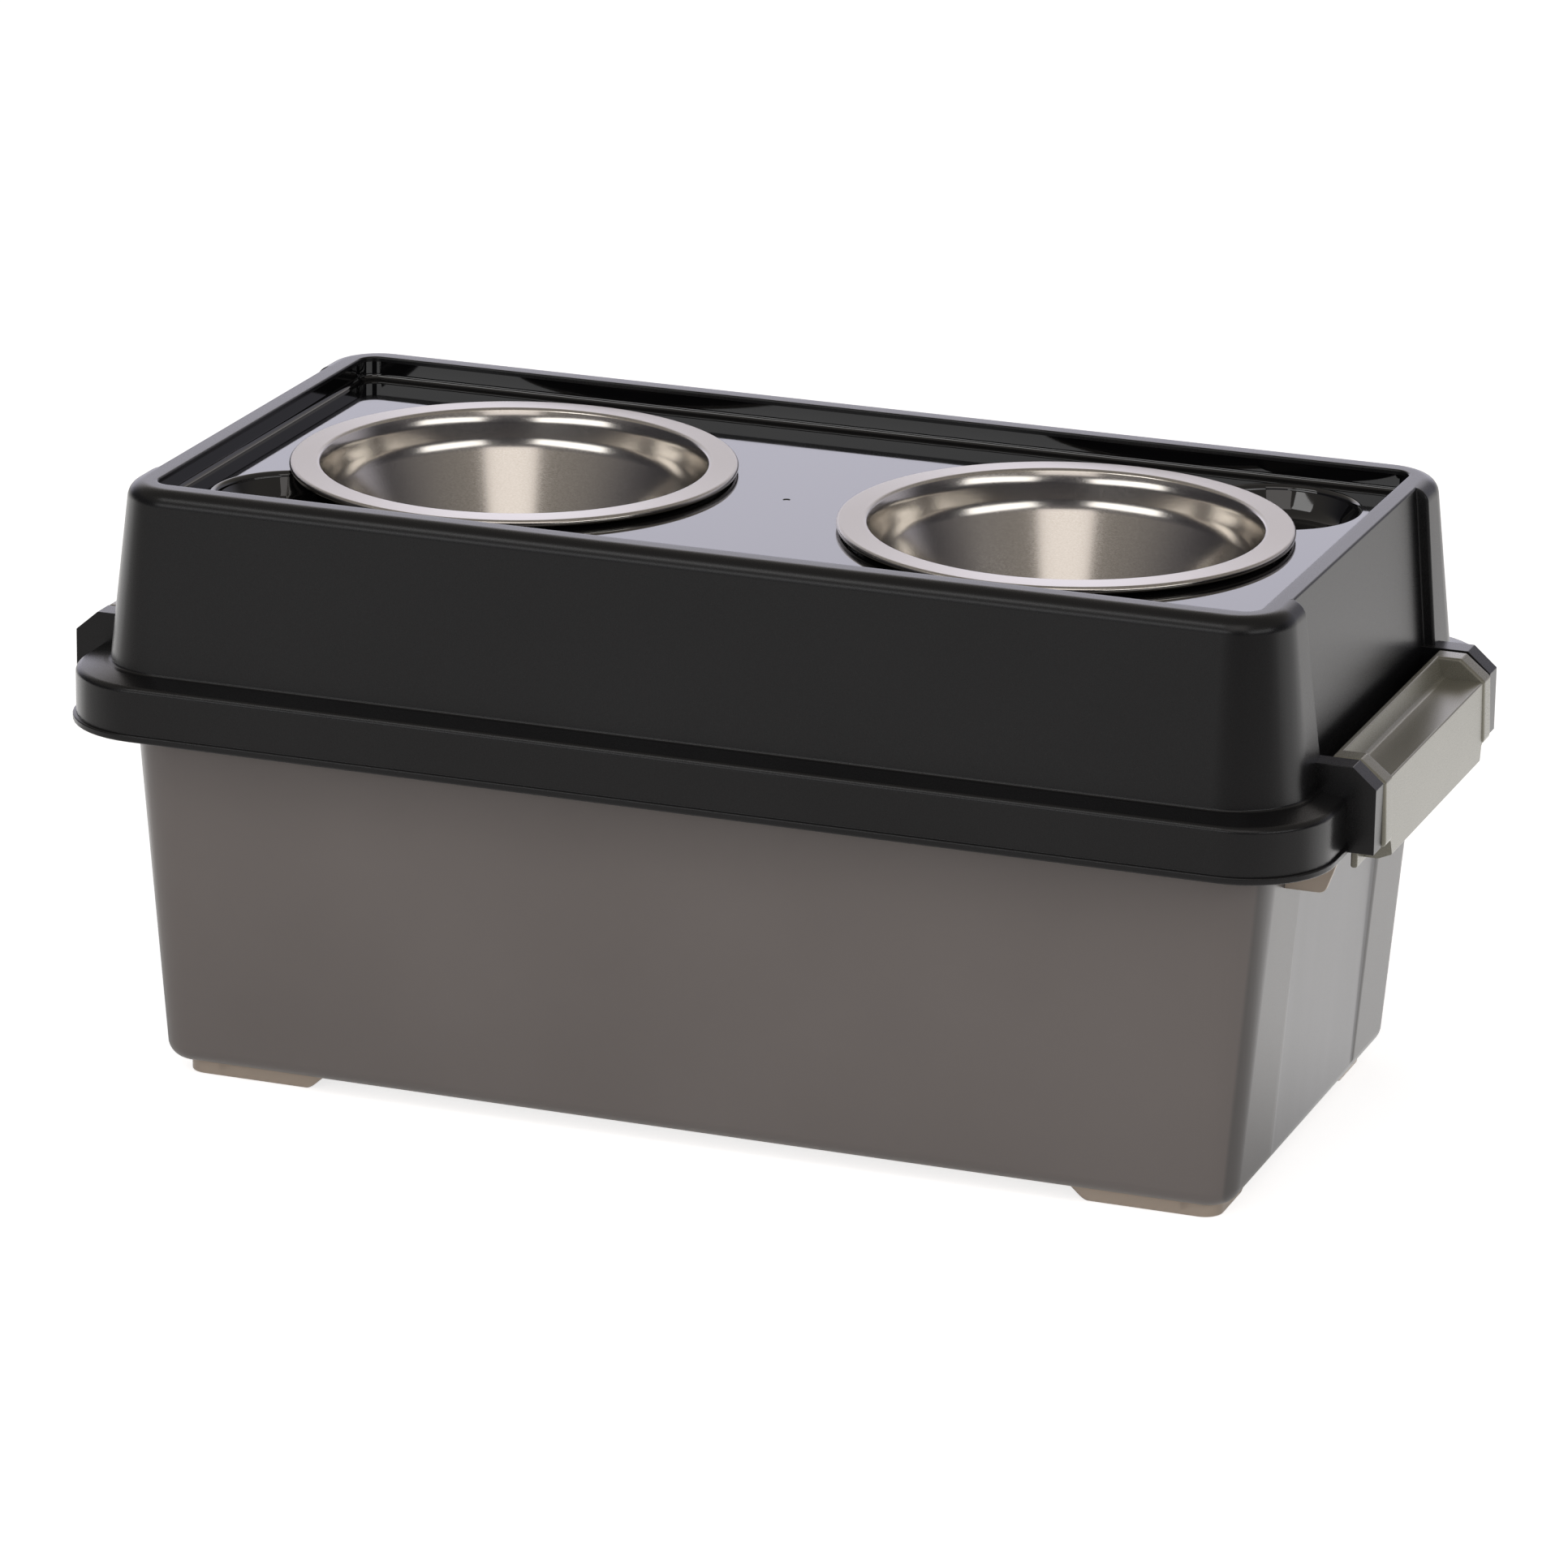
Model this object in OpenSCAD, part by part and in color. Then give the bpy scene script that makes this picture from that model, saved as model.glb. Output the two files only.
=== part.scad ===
// Raised feeding station for a dog: a storage tub, a deep lid with a tray, two steel bowls
// and two swinging latches. Millimetres. X is the long side, +Y is the rear, Z is up,
// and Z = 0 is the underside of the feet.

/* [Overall] */
// height of the closed station, feet to top rim
total_h = 312.5; // [296:0.5:330]
// distance of each bowl centre from the middle
bowl_offset = 147.3; // [143:0.1:149]
// gap between the lid frame's opening and the tray wall behind it
tray_gap = 0.4; // [0.2:0.1:1]

/* [Storage tub] */
// half length of the tub at its floor
tub_half_l = 284.2; // [270:0.1:290]
// half width of the tub at its floor
tub_half_w = 138.5; // [132:0.1:143]
// corner radius of the tub at its floor
tub_corner_r = 16; // [12:0.5:40]
// outward lean of the tub walls, mm per mm of height
tub_lean = 0.081; // [0.05:0.001:0.095]
// radius between the tub walls and the floor
tub_floor_r = 9; // [5:0.5:11]
// wall thickness of the tub
tub_wall = 2.8; // [2:0.1:4]
// half width of the sunk panel in each tub end
tub_panel_half = 71; // [50:0.5:84]
// depth of that panel at the tub mouth
tub_panel_depth = 6; // [1:0.1:7]
// height of the tub mouth
mouth_z = 211; // [200:0.5:216]
// thickness of the shelf around the mouth
shelf_t = 2.8; // [2:0.1:4]
// play between the shelf edge and the lid flange
shelf_play = 1.8; // [1:0.1:3]
// height of the skirt under the shelf edge
skirt_h = 14; // [6:0.5:18]
// thickness of that skirt
skirt_t = 2; // [1.5:0.1:3]
// distance of each rim gusset from the middle
gusset_y = 106; // [103:0.5:124]
// thickness of a rim gusset
gusset_t = 3; // [2:0.1:4]
// height of the gusset undersides
gusset_z = 167.5; // [160:0.5:175]

/* [Feet] */
// height of the feet
foot_h = 8.5; // [5:0.1:14]
// thickness of the foot skirts
foot_t = 3; // [2:0.1:5]
// half length over the feet
foot_half_l = 275; // [255:0.1:275]
// half width over the feet
foot_half_w = 126.3; // [115:0.1:129]
// corner radius of the feet
foot_corner_r = 10; // [6:0.5:20]
// end of the long leg of a foot, from the middle
foot_end_x = 209; // [180:0.5:235]
// end of the short leg of a foot, from the middle
foot_end_y = 87; // [60:0.5:100]
// length of the curved run-out at each end
foot_runout = 14; // [10:0.5:25]
// place of the stiffening rib in each foot, from the middle
foot_rib_x = 256.5; // [240:0.5:262]

/* [Lid frame] */
// wall thickness of the lid frame
lid_wall = 2.5; // [2:0.1:3]
// half length over the flange bead
flange_half_l = 329; // [324:0.1:332]
// half width over the flange bead
flange_half_w = 177.2; // [174:0.1:180]
// corner radius of the flange bead
flange_corner_r = 45.9; // [35:0.1:55]
// height of the flange underside
flange_z = 189.6; // [184:0.1:195]
// how far the bead stands out
bead_out = 1.5; // [0.5:0.1:2.5]
// height of the ledge on top of the flange
ledge_z = 218.8; // [218:0.1:221]
// half length at the top of the lid
lid_half_l = 302.4; // [299:0.1:304]
// half width at the top of the lid
lid_half_w = 150.6; // [147:0.1:153]
// corner radius at the top of the lid
lid_corner_r = 28.4; // [22:0.1:36]
// outward lean of the lid walls, mm per mm of height
lid_lean = 0.1106; // [0.09:0.0001:0.12]
// width of the top rim
top_rim_w = 15.6; // [13:0.1:18]
// corner radius of the opening inside the top rim
opening_r = 9; // [6:0.5:16]
// depth of the sunk panel in each lid end
recess_d = 5.8; // [3:0.1:6.5]
// half width of that panel at the top of the lid
recess_half = 107; // [104:0.5:112]
// narrowing of that panel, mm per mm of height
recess_taper = 0.075; // [0.04:0.005:0.1]
// number of resting ribs along each long side
rest_ribs = 5; // [3:1:9]

/* [Latches] */
// half length of a latch
latch_half = 95.8; // [90:0.1:97]
// play between a latch end and its ear
latch_play = 0.8; // [0.4:0.1:1.5]
// thickness of an ear
ear_t = 13; // [11:0.1:15]
// distance of the ear's outer face from the middle
ear_x = 341.6; // [339:0.1:346]
// height of the ear tops
ear_z = 233.4; // [232:0.1:238]
// height of the ear undersides
ear_foot_z = 190.4; // [188:0.1:200]
// distance of the hinge axis from the middle
pivot_x = 322; // [321:0.1:324]
// height of the hinge axis
pivot_z = 226.3; // [225:0.1:228]
// diameter of the stub pins
pin_d = 8; // [6:0.1:9]
// radial clearance of a stub pin in its socket
pin_clearance = 0.06; // [0.02:0.01:0.1]
// length of a stub pin beyond the latch end
pin_len = 6; // [4:0.1:8]
// distance of the latch lip from the middle
latch_lip_x = 342.6; // [341:0.1:348]
// height of the latch lip
latch_lip_z = 181.4; // [179:0.1:187]
// height of the hook end
hook_z = 177; // [174:0.1:179]
// half width of the hook
hook_half = 92.5; // [60:0.1:94]
// half width of the latch lip at its lower edge
lip_half = 80; // [60:0.1:81]
// width of each latch cheek
cheek_w = 13; // [10:0.1:14]
// depth of the finger trough below the cheeks
trough_depth = 10.6; // [8:0.1:12]
// wall thickness of a latch
latch_wall = 2.8; // [2:0.1:3]
// plan gap between the hook nose and the tub shelf
hook_gap = 0.4; // [0.2:0.1:1]

/* [Feeder tray] */
// depth of the deck below the top rim
deck_drop = 11.9; // [8:0.1:16]
// thickness of the tray
tray_wall = 2.2; // [1.5:0.1:3]
// width of the tray flange under the top rim
tray_flange_w = 6; // [4:0.1:6.5]
// radius of a bowl well at the deck
well_r = 103.6; // [103.2:0.1:106]
// radius of a bowl well at its floor
well_floor_r = 88; // [80:0.5:92]
// depth of a bowl well
well_depth = 72; // [68:0.5:76]
// radius between a well's wall and its floor
well_bend = 12; // [6:0.5:16]
// height of the collar that carries a bowl rim
collar_h = 3.9; // [2:0.1:5]
// thickness of that collar
collar_t = 2.6; // [2:0.1:4]
// radius of a finger scoop
scoop_r = 43; // [30:0.5:44]
// distance of a scoop centre from the bowl centre
scoop_reach = 120; // [110:0.5:121]
// direction of a scoop, from the X axis
scoop_turn = 46; // [42:1:48]
// depth of a finger scoop
scoop_depth = 15; // [12:0.5:24]
// inward lean of a scoop's wall over its depth
scoop_lean = 4; // [1:0.5:8]
// radius between a scoop's wall and its floor
scoop_bend = 9; // [4:0.5:11]

/* [Bowls] */
// diameter over the rolled bowl edge
bowl_d = 228; // [220:0.5:236]
// radius of the rolled edge
roll_r = 1.5; // [1.2:0.1:1.8]
// diameter of the bowl mouth inside the flat rim
mouth_d = 204.4; // [196:0.1:204.6]
// depth of a bowl
bowl_depth = 67; // [55:0.5:69]
// diameter of the bowl floor
bowl_floor_d = 160; // [140:1:164]
// sheet thickness of a bowl
sheet = 1; // [0.6:0.1:1.4]

/* [Lid seal] */
// width of the sealing ring
seal_w = 4; // [3:0.1:5]
// height of the sealing ring
seal_h = 3.4; // [2.5:0.1:4]
// plan gap from the sealing ring to the lid parts outside it
seal_gap = 1.3; // [0.8:0.1:2]

/* [Hidden] */
corner_steps = 8;
round_fn = 96;
nudge = 0.6;
deck_z = total_h - deck_drop;
collar_z = deck_z + collar_h;
bowl_z = collar_z + sheet;
ledge_under_z = mouth_z + seal_h;
rim_t = 2.6;
rim_under_z = total_h - rim_t;
flange_face_l = flange_half_l - bead_out;
flange_face_w = flange_half_w - bead_out;
flange_in_l = flange_face_l - lid_wall;
flange_in_w = flange_face_w - lid_wall;
shelf_l = flange_in_l - shelf_play;
shelf_w = flange_in_w - shelf_play;
opening_l = lid_half_l - top_rim_w;
opening_w = lid_half_w - top_rim_w;
bay_half = latch_half + latch_play;
back_x = pivot_x - 6.9;
bay_wall_x = back_x - 1.7;
nose_x = shelf_l + hook_gap;
leg_x = nose_x + 1.9;
trough_z = ear_z - 0.3 - trough_depth;
seal_out_l = bay_wall_x - lid_wall - seal_gap;
seal_out_w = shelf_w - 5.4;
seal_r = 36;

function flange_r(inset) = flange_corner_r - inset;
function lid_l(z) = lid_half_l + lid_lean * (total_h - z);
function lid_w(z) = lid_half_w + lid_lean * (total_h - z);
function lid_r(z) = lid_corner_r + lid_lean * (total_h - z);
function recess_h(z) = recess_half - recess_taper * (total_h - z);
function reversed(v) = [for (i = [len(v) - 1:-1:0]) v[i]];

// Points of an arc about [cx, cy] from angle t0 to angle t1 in n steps.
function arc(cx, cy, r, t0, t1, n) =
    [for (i = [0:n]) let (t = t0 + i * (t1 - t0) / n) [cx + r * cos(t), cy + r * sin(t)]];
function at_height(points, z) = [for (p = points) [p[0], p[1], z]];

// One closed outline at height z, counterclockwise: half sizes a and b, corner radius r, and
// end panels sunk by d between y = -h and y = h.
function outline(a, b, r, z, d = 0, h = recess_half) = at_height(concat(
    [[a, -h - nudge], [a - d, -h + nudge], [a - d, h - nudge], [a, h + nudge]],
    arc(a - r, b - r, r, 0, 90, corner_steps),
    arc(-a + r, b - r, r, 90, 180, corner_steps),
    [[-a, h + nudge], [-a + d, h - nudge], [-a + d, -h + nudge], [-a, -h - nudge]],
    arc(-a + r, -b + r, r, 180, 270, corner_steps),
    arc(a - r, -b + r, r, 270, 360, corner_steps)), z);
function band(i, k, n) = [for (j = [0:n - 1]) each [
    [k * n + j, k * n + (j + 1) % n, i * n + (j + 1) % n],
    [k * n + j, i * n + (j + 1) % n, i * n + j]]];

// A ring-shaped shell: its outlines run once around the wall section and close on the first.
module closed_shell(rings) {
    n = len(rings[0]);
    m = len(rings);
    polyhedron(points = [for (k = rings) each k],
               faces = [for (i = [0:m - 1]) each band(i, (i + 1) % m, n)]);
}

// A vessel: its outlines run from the outside of the floor, over the brim, to the inside.
module vessel(rings) {
    n = len(rings[0]);
    m = len(rings);
    under = n * m;
    inside = n * m + 1;
    polyhedron(
        points = concat([for (k = rings) each k],
                        [[0, 0, rings[0][0][2]], [0, 0, rings[m - 1][0][2]]]),
        faces = concat([for (i = [0:m - 2]) each band(i, i + 1, n)],
                       [for (j = [0:n - 1]) [under, j, (j + 1) % n]],
                       [for (j = [0:n - 1]) [inside, n * (m - 1) + (j + 1) % n, n * (m - 1) + j]]));
}

// A profile drawn in X and Z, carried along Y from y0 to y1.
module carried(points, y0, y1) {
    translate([0, y1, 0])
        rotate([90, 0, 0])
            linear_extrude(y1 - y0) polygon(points);
}

// A revolved sheet of thickness t under the path of its upper face.
function side_of(a, b, t) = let (u = b - a) t * [u[1], -u[0]] / norm(u);
function lower_face(path, t) = [for (i = [0:len(path) - 1])
    let (a = path[max(i - 1, 0)], b = path[min(i + 1, len(path) - 1)]) path[i] + side_of(a, b, t)];
module revolved_sheet(path, t) {
    rotate_extrude($fn = round_fn)
        polygon(concat(path, reversed(lower_face(path, t))));
}

module both_ends() {
    children();
    mirror([1, 0, 0]) children();
}

module both_sides() {
    children();
    mirror([0, 1, 0]) children();
}

function tub_l(z) = tub_half_l + tub_lean * (z - foot_h);
function tub_w(z) = tub_half_w + tub_lean * (z - foot_h);
function tub_outline(z, inset) =
    let (r = max(tub_corner_r + tub_lean * (z - foot_h) - inset, 3),
         low = foot_h + tub_floor_r,
         d = tub_panel_depth * (z - low) / (mouth_z - low))
        outline(tub_l(z) - inset, tub_w(z) - inset, r, z, d, tub_panel_half);
function tub_floor_outline(t, inset) =
    let (q = tub_floor_r - inset, side = inset + q * (1 - sin(t)), up = q * (1 - cos(t)))
        outline(tub_half_l - side, tub_half_w - side, max(tub_corner_r - side, 3),
                foot_h + inset + up, 0, tub_panel_half);

module tub_shell() {
    under = mouth_z - shelf_t;
    low = foot_h + tub_floor_r;
    r = flange_r(bead_out + lid_wall + shelf_play);
    vessel(concat(
        [for (t = [0, 25, 50, 70]) tub_floor_outline(t, 0)],
        [tub_outline(low, 0), tub_outline(under, 0)],
        [for (k = [[skirt_t, under], [skirt_t, under - skirt_h], [0, under - skirt_h], [0, mouth_z]])
            outline(shelf_l - k[0], shelf_w - k[0], r - k[0], k[1], 0, tub_panel_half)],
        [tub_outline(mouth_z, tub_wall), tub_outline(low, tub_wall)],
        [for (t = [70, 50, 25, 0]) tub_floor_outline(t, tub_wall)]));
}

// The skirt stops at the latches, so their hooks can reach the shelf.
module hook_bay() {
    under = mouth_z - shelf_t;
    translate([shelf_l - skirt_t - 0.5, -bay_half, under - skirt_h - 1])
        cube([skirt_t + 2, 2 * bay_half, skirt_h + 1]);
}

// A web under each end of the shelf, beside the latches.
module rim_gusset() {
    under = mouth_z - shelf_t + 0.4;
    x0 = tub_l(gusset_z) - 0.8;
    x1 = shelf_l - 0.4;
    carried([[x0, gusset_z], [x1 - 9, gusset_z], [x1 - 5.6, gusset_z + 1.3], [x1 - 3.8, gusset_z + 4],
             [x1, gusset_z + 15], [x1, under], [tub_l(under) - 0.8, under]],
            gusset_y - gusset_t / 2, gusset_y + gusset_t / 2);
}

// One foot: a thin angle that follows the tub corner and runs out in a curve at both ends.
function foot_side(end, far) = concat(
    [[end - foot_runout, foot_h + 1], [end - foot_runout, foot_h - 0.2]],
    [for (i = [1:5]) let (t = i / 6) [end - foot_runout * (1 - t), (foot_h - 0.2) * (1 + cos(180 * t)) / 2]],
    [[end, 0], [far, 0], [far, foot_h + 1]]);
module foot() {
    l = foot_half_l;
    w = foot_half_w;
    r = foot_corner_r;
    x0 = foot_end_x - foot_runout - 1;
    y0 = foot_end_y - foot_runout - 1;
    high = foot_h + 1;
    intersection() {
        difference() {
            union() {
                translate([l - r, w - r, 0]) cylinder(r = r, h = high, $fn = round_fn);
                translate([x0, w - r, 0]) cube([l - r - x0, r, high]);
                translate([l - r, y0, 0]) cube([r, w - r - y0, high]);
            }
            translate([l - r, w - r, -1]) cylinder(r = r - foot_t, h = high + 2, $fn = round_fn);
            translate([x0 - 1, w - r - 1, -1]) cube([l - r - x0 + 1, r + 1 - foot_t, high + 2]);
            translate([l - r - 1, y0 - 1, -1]) cube([r + 1 - foot_t, w - r - y0 + 1, high + 2]);
        }
        union() {
            carried(foot_side(foot_end_x, l + 1), w - r, w + 1);
            translate([l - r, 0, 0]) rotate([90, 0, 90])
                linear_extrude(r + 1) polygon(foot_side(foot_end_y, w + 1));
        }
    }
    translate([foot_rib_x - 1, w - 26, 2]) cube([2, 26 - foot_t + 0.5, high - 2]);
}

module storage_tub() {
    color([0.36, 0.34, 0.33, 0.75])
        difference() {
            union() {
                tub_shell();
                both_ends() both_sides() rim_gusset();
                both_ends() both_sides() foot();
            }
            both_ends() hook_bay();
        }
}

// The lid's walls: flange bead, ledge, leaning walls with sunk end panels, and the top rim.
module lid_shell() {
    base_z = ledge_z + 3.5;
    foot_of_wall = ledge_z + 1.1;
    function flange(inset, z) =
        outline(flange_half_l - inset, flange_half_w - inset, flange_r(inset), z, 0, recess_h(base_z));
    function wall(inset, z) =
        outline(lid_l(z) - inset, lid_w(z) - inset, max(lid_r(z) - inset, 4), z, recess_d, recess_h(z));
    function rim(inset, z) = outline(opening_l + inset, opening_w + inset, opening_r + inset, z);
    closed_shell(concat(
        [flange(0.7, flange_z), flange(0, flange_z + 0.9), flange(0, flange_z + 2.6),
         flange(bead_out, flange_z + 3.8), flange(bead_out, ledge_z - 6.6),
         flange(bead_out + 0.9, ledge_z - 3.8), flange(bead_out + 3.3, ledge_z - 1.9),
         flange(bead_out + 9, ledge_z)],
        [wall(-2.4, foot_of_wall), wall(0, base_z), wall(0, total_h - 3.7), wall(0.3, total_h - 1.7),
         wall(0.9, total_h - 0.6), wall(2.1, total_h)],
        [rim(1, total_h), rim(0, total_h - 1), rim(0, rim_under_z)],
        [wall(lid_wall, rim_under_z), wall(lid_wall, foot_of_wall - 0.4)],
        [flange(bead_out + 12.5, ledge_z - 2.4), flange(bead_out + 9.5, ledge_under_z),
         flange(bead_out + lid_wall, ledge_under_z), flange(bead_out + lid_wall, flange_z + 3)]));
}

// A flat land under the ledge for the seal, and short ribs that stand on the tub shelf.
module seal_land() {
    land_t = 2.6;
    in_l = seal_out_l - seal_w - 1;
    in_w = seal_out_w - seal_w - 1;
    out_l = flange_in_l - 4;
    out_w = flange_in_w - 4;
    function land(a, b, r, z) = outline(a, b, r, z, 0, recess_half);
    closed_shell([land(out_l, out_w, seal_r + 5, ledge_under_z),
                  land(out_l, out_w, seal_r + 5, ledge_under_z + land_t),
                  land(in_l, in_w, seal_r - seal_w, ledge_under_z + land_t),
                  land(in_l, in_w, seal_r - seal_w, ledge_under_z)]);
    rib_w = 3;
    reach = opening_l - 60;
    both_sides()
        for (i = [0:rest_ribs - 1])
            translate([-reach + i * 2 * reach / (rest_ribs - 1) - rib_w / 2, seal_out_w + seal_gap, mouth_z])
                cube([rib_w, flange_in_w + 0.5 - seal_out_w - seal_gap, seal_h + 0.5]);
}

// One ear: it closes the end of the latch bay and holds the socket of a stub pin.
function ear_profile(root) =
    [[root, ledge_z - 0.5], [root, ear_z], [ear_x - 12, ear_z], [ear_x, ear_z - 10.4],
     [ear_x, ear_foot_z], [flange_in_l, ear_foot_z], [flange_in_l, ledge_under_z],
     [bay_wall_x - lid_wall, ledge_under_z], [bay_wall_x - lid_wall, ledge_z - 0.5]];
module ear() {
    step_y = recess_h(ear_z);
    carried(ear_profile(lid_l(ear_z) - 1), bay_half, bay_half + ear_t);
    carried(ear_profile(lid_l(ear_z) - recess_d - 1), bay_half, max(step_y, bay_half + 1));
}
module ear_hollow() {
    inner_x = flange_face_l + 1;
    translate([inner_x, bay_half + lid_wall, ear_foot_z - 1])
        cube([ear_x - lid_wall - inner_x, ear_t - 2 * lid_wall, pivot_z - pin_d / 2 - 4 - ear_foot_z]);
}
module latch_bay() {
    translate([bay_wall_x, -bay_half, flange_z - 1])
        cube([flange_half_l, 2 * bay_half, ledge_z + 6 - flange_z]);
}
module bay_wall() {
    translate([bay_wall_x - lid_wall, -bay_half - 1, mouth_z])
        cube([lid_wall, 2 * bay_half + 2, ledge_z - mouth_z - 0.6]);
}
module pin_socket() {
    translate([pivot_x, bay_half - 1, pivot_z])
        rotate([-90, 0, 0])
            cylinder(r = pin_d / 2 + pin_clearance, h = pin_len - latch_play + 1.5, $fn = round_fn);
}

module lid_frame() {
    color([0.15, 0.15, 0.16])
        difference() {
            union() {
                difference() {
                    union() {
                        lid_shell();
                        seal_land();
                    }
                    both_ends() latch_bay();
                }
                both_ends() bay_wall();
                both_ends() both_sides() ear();
            }
            both_ends() both_sides() ear_hollow();
            both_ends() both_sides() pin_socket();
        }
}

// The tray: a flange glued under the top rim, a short wall, and the deck with rounded foot.
module tray_pan() {
    l = opening_l + tray_gap;
    w = opening_w + tray_gap;
    foot_r = 3;
    function pan(out, z) = outline(l + out, w + out, max(opening_r + tray_gap + out, 3), z);
    vessel(concat(
        [pan(-foot_r, deck_z - tray_wall), pan(-0.4, deck_z - 1.2), pan(tray_wall, deck_z + 1.8),
         pan(tray_wall, rim_under_z - tray_wall), pan(tray_flange_w, rim_under_z - tray_wall),
         pan(tray_flange_w, rim_under_z), pan(0, rim_under_z)],
        [for (t = [0, 30, 60, 90]) pan(-foot_r * (1 - cos(t)), deck_z + foot_r * (1 - sin(t)))]));
}

// Half section of a round basin: flat floor, bent foot and leaning wall up to radius r.
function basin_path(r, floor_r, top, depth, bend) =
    let (lean = atan2(r - floor_r, depth), cx = floor_r - bend * (1 - sin(lean)) / cos(lean))
        concat([[0, top - depth]], arc(cx, top - depth + bend, bend, -90, -lean, 5), [[r, top]]);
function well_path() = basin_path(well_r, well_floor_r, deck_z, well_depth, well_bend);
function scoop_path() = basin_path(scoop_r, scoop_r - scoop_lean, deck_z, scoop_depth, scoop_bend);
module basin_shell(path, r) {
    difference() {
        revolved_sheet(path, tray_wall);
        translate([0, 0, deck_z]) cylinder(r = r + 2 * tray_wall, h = 2 * tray_wall, $fn = round_fn);
    }
}
module basin_hollow(path, r) {
    rotate_extrude($fn = round_fn)
        polygon(concat(path, [[r, collar_z + 1], [0, collar_z + 1]]));
}
module collar() {
    rotate_extrude($fn = round_fn)
        translate([well_r, deck_z - 0.5]) square([collar_t, collar_h + 0.5]);
}
module at_wells() {
    for (side = [-1, 1])
        translate([side * bowl_offset, 0, 0]) children();
}
module at_scoops() {
    for (side = [0, 1])
        rotate([0, 0, 180 * side])
            translate([bowl_offset + scoop_reach * cos(scoop_turn), scoop_reach * sin(scoop_turn), 0])
                children();
}

module feeder_tray() {
    color([0.07, 0.07, 0.08])
        difference() {
            union() {
                tray_pan();
                at_wells() basin_shell(well_path(), well_r);
                at_scoops() basin_shell(scoop_path(), scoop_r);
                at_wells() collar();
            }
            at_wells() basin_hollow(well_path(), well_r);
            at_scoops() basin_hollow(scoop_path(), scoop_r);
        }
}

module lid_seal() {
    function edge(inset, z) = outline(seal_out_l - inset, seal_out_w - inset, seal_r - inset, z);
    color([0.1, 0.1, 0.1])
        closed_shell([edge(0, mouth_z), edge(0, ledge_under_z), edge(seal_w, ledge_under_z),
                      edge(seal_w, mouth_z)]);
}

// Upper face of a bowl: floor, bent foot, leaning wall with a soft shoulder, and flat rim.
function bowl_path() =
    let (foot_bend = 14, top_bend = 3.5, r = mouth_d / 2, floor_r = bowl_floor_d / 2,
         low = bowl_z - bowl_depth + sheet, shoulder = bowl_z - 17)
        concat([[0, low]],
               arc(floor_r - foot_bend, low + foot_bend, foot_bend, -90, -12, 6),
               [[r - 7.5, shoulder - 2], [r - 6, shoulder + 1]],
               arc(r, bowl_z - top_bend, top_bend, 172, 90, 5),
               [[bowl_d / 2 - roll_r, bowl_z]]);
module bowl() {
    color([0.78, 0.78, 0.79])
        union() {
            revolved_sheet(bowl_path(), sheet);
            translate([0, 0, bowl_z - roll_r])
                rotate_extrude($fn = round_fn)
                    translate([bowl_d / 2 - roll_r, 0]) circle(r = roll_r, $fn = 32);
        }
}
module bowl_left() {
    translate([-bowl_offset, 0, 0]) bowl();
}
module bowl_right() {
    translate([bowl_offset, 0, 0]) bowl();
}

// A latch: cheeks with stub pins, an open finger trough, a long lip and a hook behind it.
module latch_skin() {
    top = ear_z - 0.3;
    w = latch_wall;
    inner = latch_half - cheek_w;
    both_sides()
        carried([[back_x, trough_z - w], [back_x, top], [ear_x - 12, top], [ear_x + 0.8, trough_z + 0.3],
                 [ear_x + 1.8, ear_foot_z + 2], [ear_x + 0.8, ear_foot_z], [leg_x + 1, ear_foot_z],
                 [leg_x, ear_foot_z + 1], [leg_x, trough_z - w]], inner, latch_half);
    carried([[back_x, trough_z - w], [back_x, top], [back_x + w, top], [back_x + w, trough_z],
             [ear_x - 1, trough_z], [ear_x, trough_z - 1], [latch_lip_x, latch_lip_z + 1.2],
             [latch_lip_x - 1.2, latch_lip_z], [latch_lip_x - w, latch_lip_z + 0.8],
             [ear_x - w, trough_z - w]], -inner - 1, inner + 1);
    both_sides()
        carried([[leg_x + 1, latch_lip_z - 2.5], [latch_lip_x - 7, latch_lip_z - 2.5],
                 [latch_lip_x - 1.4, latch_lip_z], [ear_x - 0.6, ear_foot_z + w],
                 [leg_x + 1, ear_foot_z + w]], lip_half - w, inner + 1);
    for (y = [-0.6, 0, 0.6] * lip_half)
        carried([[leg_x + 1, latch_lip_z + 8], [latch_lip_x - 1, latch_lip_z + 8], [ear_x - 1, trough_z - 1],
                 [leg_x + 1, trough_z - 1]], y - 1, y + 1);
}
module latch_hook() {
    under = mouth_z - shelf_t;
    top = trough_z - latch_wall + 0.5;
    t = latch_wall + 0.6;
    carried([[leg_x, top], [leg_x, under - 2], [nose_x, under - 3.5], [nose_x, under - 7],
             [leg_x, under - 11], [leg_x, hook_z + 1.4], [leg_x + 1.2, hook_z], [leg_x + t - 1.2, hook_z],
             [leg_x + t, hook_z + 1.4], [leg_x + t, top]], -hook_half, hook_half);
}
module cheek_hollow() {
    w = latch_wall;
    x0 = leg_x + w;
    carried([[x0, latch_lip_z - 5], [x0, trough_z - w - 1], [ear_x - w + 0.8, trough_z - w - 1],
             [ear_x - w + 1.8, latch_lip_z - 5]], latch_half - cheek_w + w, latch_half - w);
}

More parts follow.
